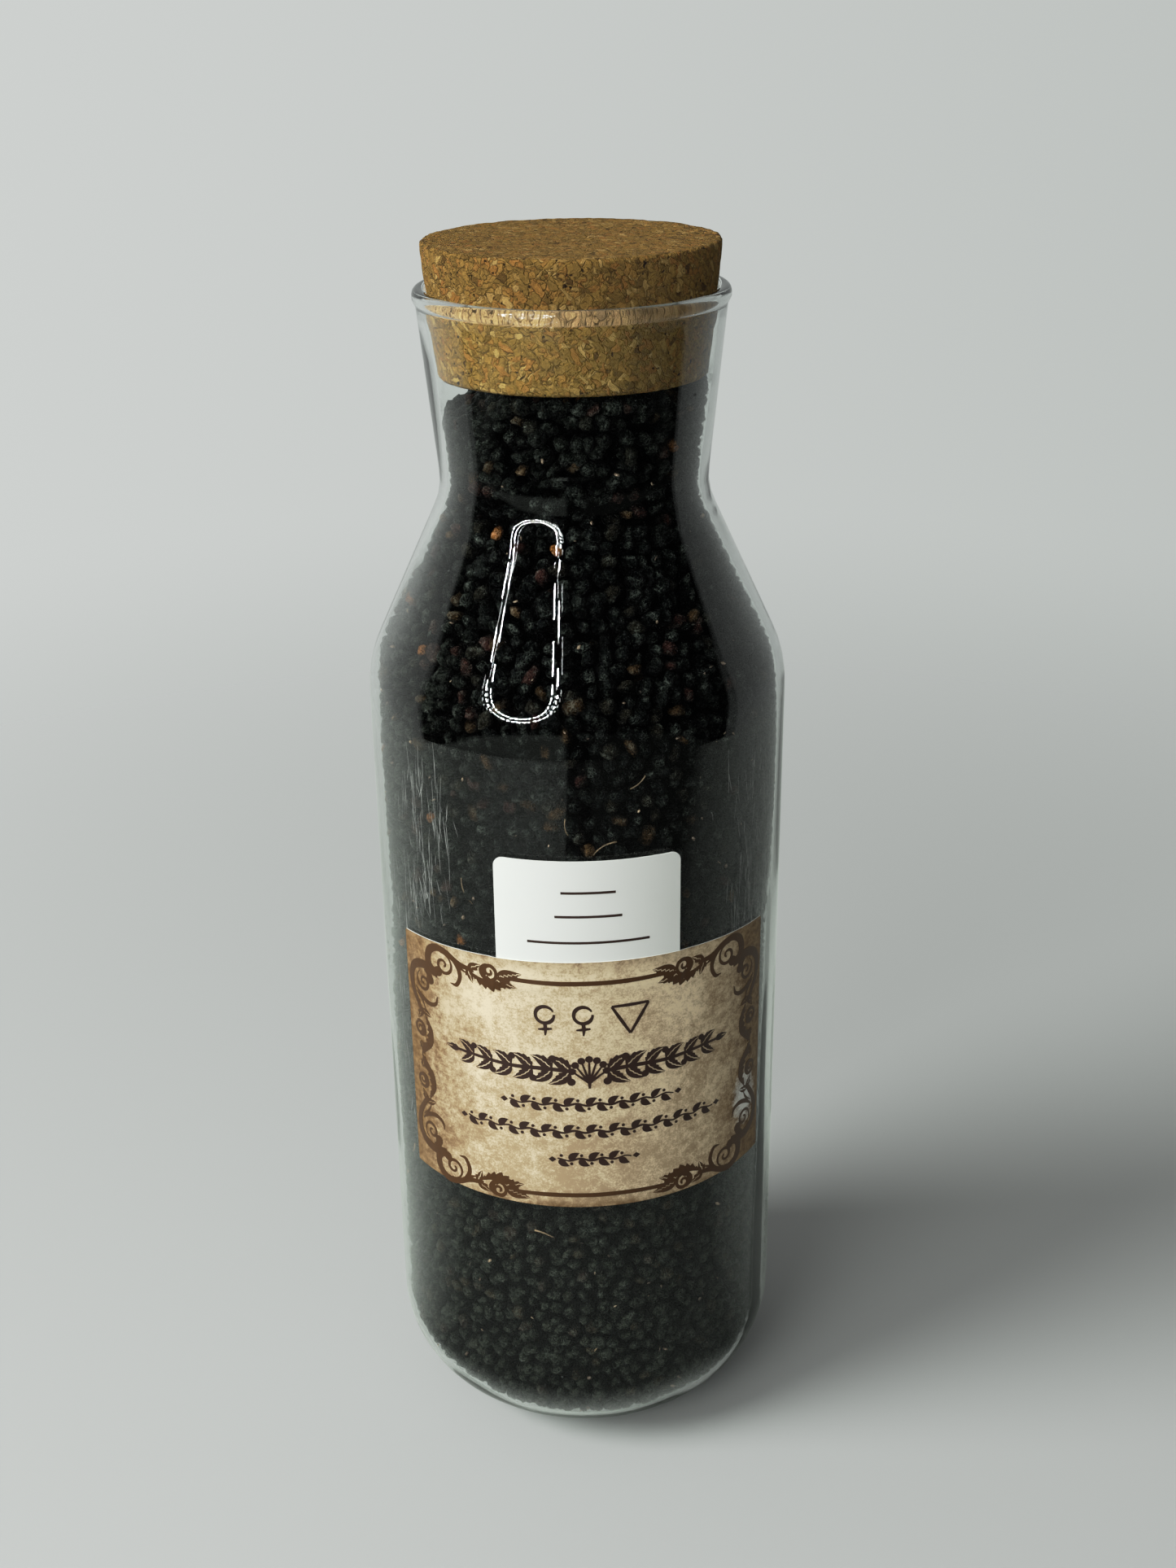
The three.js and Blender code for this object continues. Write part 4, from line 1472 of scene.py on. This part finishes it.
class CARAFE_OT_stage(bpy.types.Operator):
    """Set up the floor, the lights and the camera"""

    bl_idname = "carafe.stage"
    bl_label = "Stage"

    def execute(self, context):
        stage = context.scene.carafe_stage
        self.make_camera(context, stage)
        self.make_floor(stage)
        self.make_world(context, stage)
        self.make_soft_lamps(stage)
        self.make_ring_lamp(stage)
        self.make_tone(context.scene.view_settings)
        return {"FINISHED"}

    def make_tone(self, view):
        """Standard display with softly held highlights."""
        view.view_transform = "Standard"
        view.use_curve_mapping = True
        tone = view.curve_mapping
        tone.extend = "EXTRAPOLATED"
        curve = tone.curves[3]
        for place, (dark, light) in enumerate(TONE):
            if place == len(curve.points) - 1 and place < len(TONE) - 1:
                curve.points.new(dark, light)
            else:
                curve.points[place].location = (dark, light)
        tone.update()

    def make_camera(self, context, stage):
        camera = bpy.data.objects.new("camera", bpy.data.cameras.new("camera"))
        camera.data.lens = stage.camera_lens
        camera.data.clip_start = 0.01
        camera.data.clip_end = 60
        axes = np.identity(4)
        for column, axis in enumerate(camera_axes(stage)):
            axes[:3, column] = axis
        axes[:3, 3] = (0, -stage.camera_distance, stage.camera_height)
        camera.matrix_world = Matrix(axes)
        context.scene.collection.objects.link(camera)
        context.scene.camera = camera

    def make_floor(self, stage):
        half = 1.1 * stage.floor_end
        corners = np.array([[-half, -half, 0], [half, -half, 0], [half, half, 0], [-half, half, 0]])
        floor = make_object("floor", corners - [0, 0, 0.05 * MM], [np.array([[0, 1, 2, 3]])])
        floor.data.materials.append(floor_material(stage))

    def make_world(self, context, stage):
        """Pale all round to the eye.

        Rays that have been mirrored once see pale walls behind and a dark room in front, with a
        stretch of ground in it. Rays that have been scattered see a grey that brightens at the
        left and the back.
        """
        world = bpy.data.worlds.new("studio")
        context.scene.world = world
        world.cycles.sampling_method = "NONE"
        world.use_nodes = True
        tree = world.node_tree
        tree.nodes.clear()
        direction = value(tree, "TexCoord", None, "Generated")
        across, back, up = parts_of(direction)
        past = abs(across).times_plus(ROOM_SLOPE, back)
        straight = back.times_plus(4.0, -3.5, clamp=True)
        booth = past.times_plus(30.0, 0.5, clamp=True) * (back.times_plus(0.5, 0.55) + straight)
        rightness = across.times_plus(1.0, 0.5, clamp=True)
        plain = mixed(rightness, (0.68, 0.71, 0.69), (0.46, 0.49, 0.47))
        walls = mixed(rightness, (0.52, 0.55, 0.53), (0.32, 0.34, 0.33))
        room = mixed(self.far_ground(across, up), (0.005, 0.0055, 0.0055), (0.125, 0.14, 0.125))
        scattered = value(tree, "LightPath", None, "Diffuse Depth").over(0.5)
        leftback = across.times_plus(-0.6, back * 0.55, clamp=True)
        around = leftback.times_plus(1.8 * stage.fill, 0.85 * stage.fill)
        fill = mixed(scattered, plain, value(tree, "CombineXYZ", {0: around, 1: around, 2: around}))
        mirrored_only = mirrored_once(tree) * (1.0 - scattered)
        seen = mixed(mirrored_only, fill, mixed(booth, room, walls))
        light = value(tree, "Background", {"Color": seen, "Strength": 1.0})
        node(tree, "OutputWorld", {0: light})

    def far_ground(self, across, up):
        """How much pale ground past the floor's front edge shows in one mirrored direction.

        It ends below the horizon, by 0.06 and 0.4 times the fourth power of the sideways part.
        """
        squared = across * across
        below = (squared * squared).times_plus(-0.4, -0.06)
        lower = (below - up).times_plus(80.0, 0.5, clamp=True)
        sides = ramp(across.times_plus(0.5, 0.5),
                     [(0.425, 1.0), (0.445, 0.03), (0.54, 0.03), (0.56, 0.14)])
        return lower * mapped(up, -0.38, -0.34, 0.0, 1.0) * sides

    def make_soft_lamps(self, stage):
        """A broad soft lamp high on the left, and a small one in front where the ring lamp hangs."""
        for name, size, power, place in (("key", 0.9, stage.key_power, (-1.30, -0.47, 1.31)),
                                         ("front", 0.4, stage.front_power, (-0.35, -0.56, 0.42))):
            lamp = bpy.data.lights.new(name, "AREA")
            lamp.shape = "DISK"
            lamp.size = size
            lamp.energy = power
            made = bpy.data.objects.new(name, lamp)
            place_lamp(made, np.array(place), np.array([0, 0, 0.15]), np.array([0, 0, 1]))
            made.visible_glossy = False
            made.visible_camera = False
            made.visible_transmission = False

    def make_ring_lamp(self, stage):
        """A ring lamp in front on the left: small panels in two rows on a loop that faces the carafe.

        The panels are hidden from rays that scatter on them directly, and weak for scattered rays.
        """
        middle = np.array(RING_MIDDLE)
        ahead = unit(np.array(RING_FACES) - middle)
        right = unit(np.cross(ahead, [0, 0, 1]))
        up = np.cross(right, ahead)
        panel = bpy.data.lights.new("ring_panel", "AREA")
        panel.shape = "RECTANGLE"
        panel.size, panel.size_y = PANEL_WIDTH, PANEL_HEIGHT
        panel.energy = stage.ring_power / RING_PANELS
        panel.use_nodes = True
        scattered = value(panel.node_tree, "LightPath", None, "Diffuse Depth").over(0.5)
        strength = scattered.times_plus(RING_AFTER_SCATTER - 1, 1.0)
        set_inputs(panel.node_tree.nodes["Emission"], {"Strength": strength})
        for number in range(RING_PANELS):
            angle = 2 * math.pi * number / RING_PANELS
            outwards = unit(math.cos(angle) * right + math.sin(angle) * up)
            row = ROW_OFFSET if number % 2 else -ROW_OFFSET
            place = middle + stage.ring_across * math.cos(angle) * right
            place = place + stage.ring_up * math.sin(angle) * up + row * outwards
            lamp = bpy.data.objects.new(f"ring_panel_{number:02d}", panel)
            place_lamp(lamp, place, place + ahead, outwards)
            lamp.visible_diffuse = False


# ------------------------------------------------------------------ panel and start


class CARAFE_PT_panel(bpy.types.Panel):
    """Lists the carafe's pieces"""

    bl_label = "Carafe"
    bl_idname = "CARAFE_PT_panel"
    bl_space_type = "VIEW_3D"
    bl_region_type = "UI"
    bl_category = "Carafe"

    def draw(self, context):
        for step in STEPS:
            self.layout.operator(step.bl_idname)


GROUPS = {
    "carafe_glass": CARAFE_PG_glass,
    "carafe_cork": CARAFE_PG_cork,
    "carafe_berries": CARAFE_PG_berries,
    "carafe_labels": CARAFE_PG_labels,
    "carafe_stage": CARAFE_PG_stage,
}
STEPS = (
    CARAFE_OT_stage, CARAFE_OT_glass, CARAFE_OT_scuffs,
    CARAFE_OT_cork, CARAFE_OT_berries, CARAFE_OT_labels,
)


def register():
    for name, group in GROUPS.items():
        bpy.utils.register_class(group)
        setattr(bpy.types.Scene, name, PointerProperty(type=group))
    for step in STEPS:
        bpy.utils.register_class(step)
    bpy.utils.register_class(CARAFE_PT_panel)


def unregister():
    bpy.utils.unregister_class(CARAFE_PT_panel)
    for step in reversed(STEPS):
        bpy.utils.unregister_class(step)
    for name, group in reversed(GROUPS.items()):
        delattr(bpy.types.Scene, name)
        bpy.utils.unregister_class(group)


def main():
    register()
    bpy.ops.carafe.stage()
    bpy.ops.carafe.glass()
    bpy.ops.carafe.scuffs()
    bpy.ops.carafe.cork()
    bpy.ops.carafe.berries()
    bpy.ops.carafe.labels()


if __name__ == "__main__":
    main()
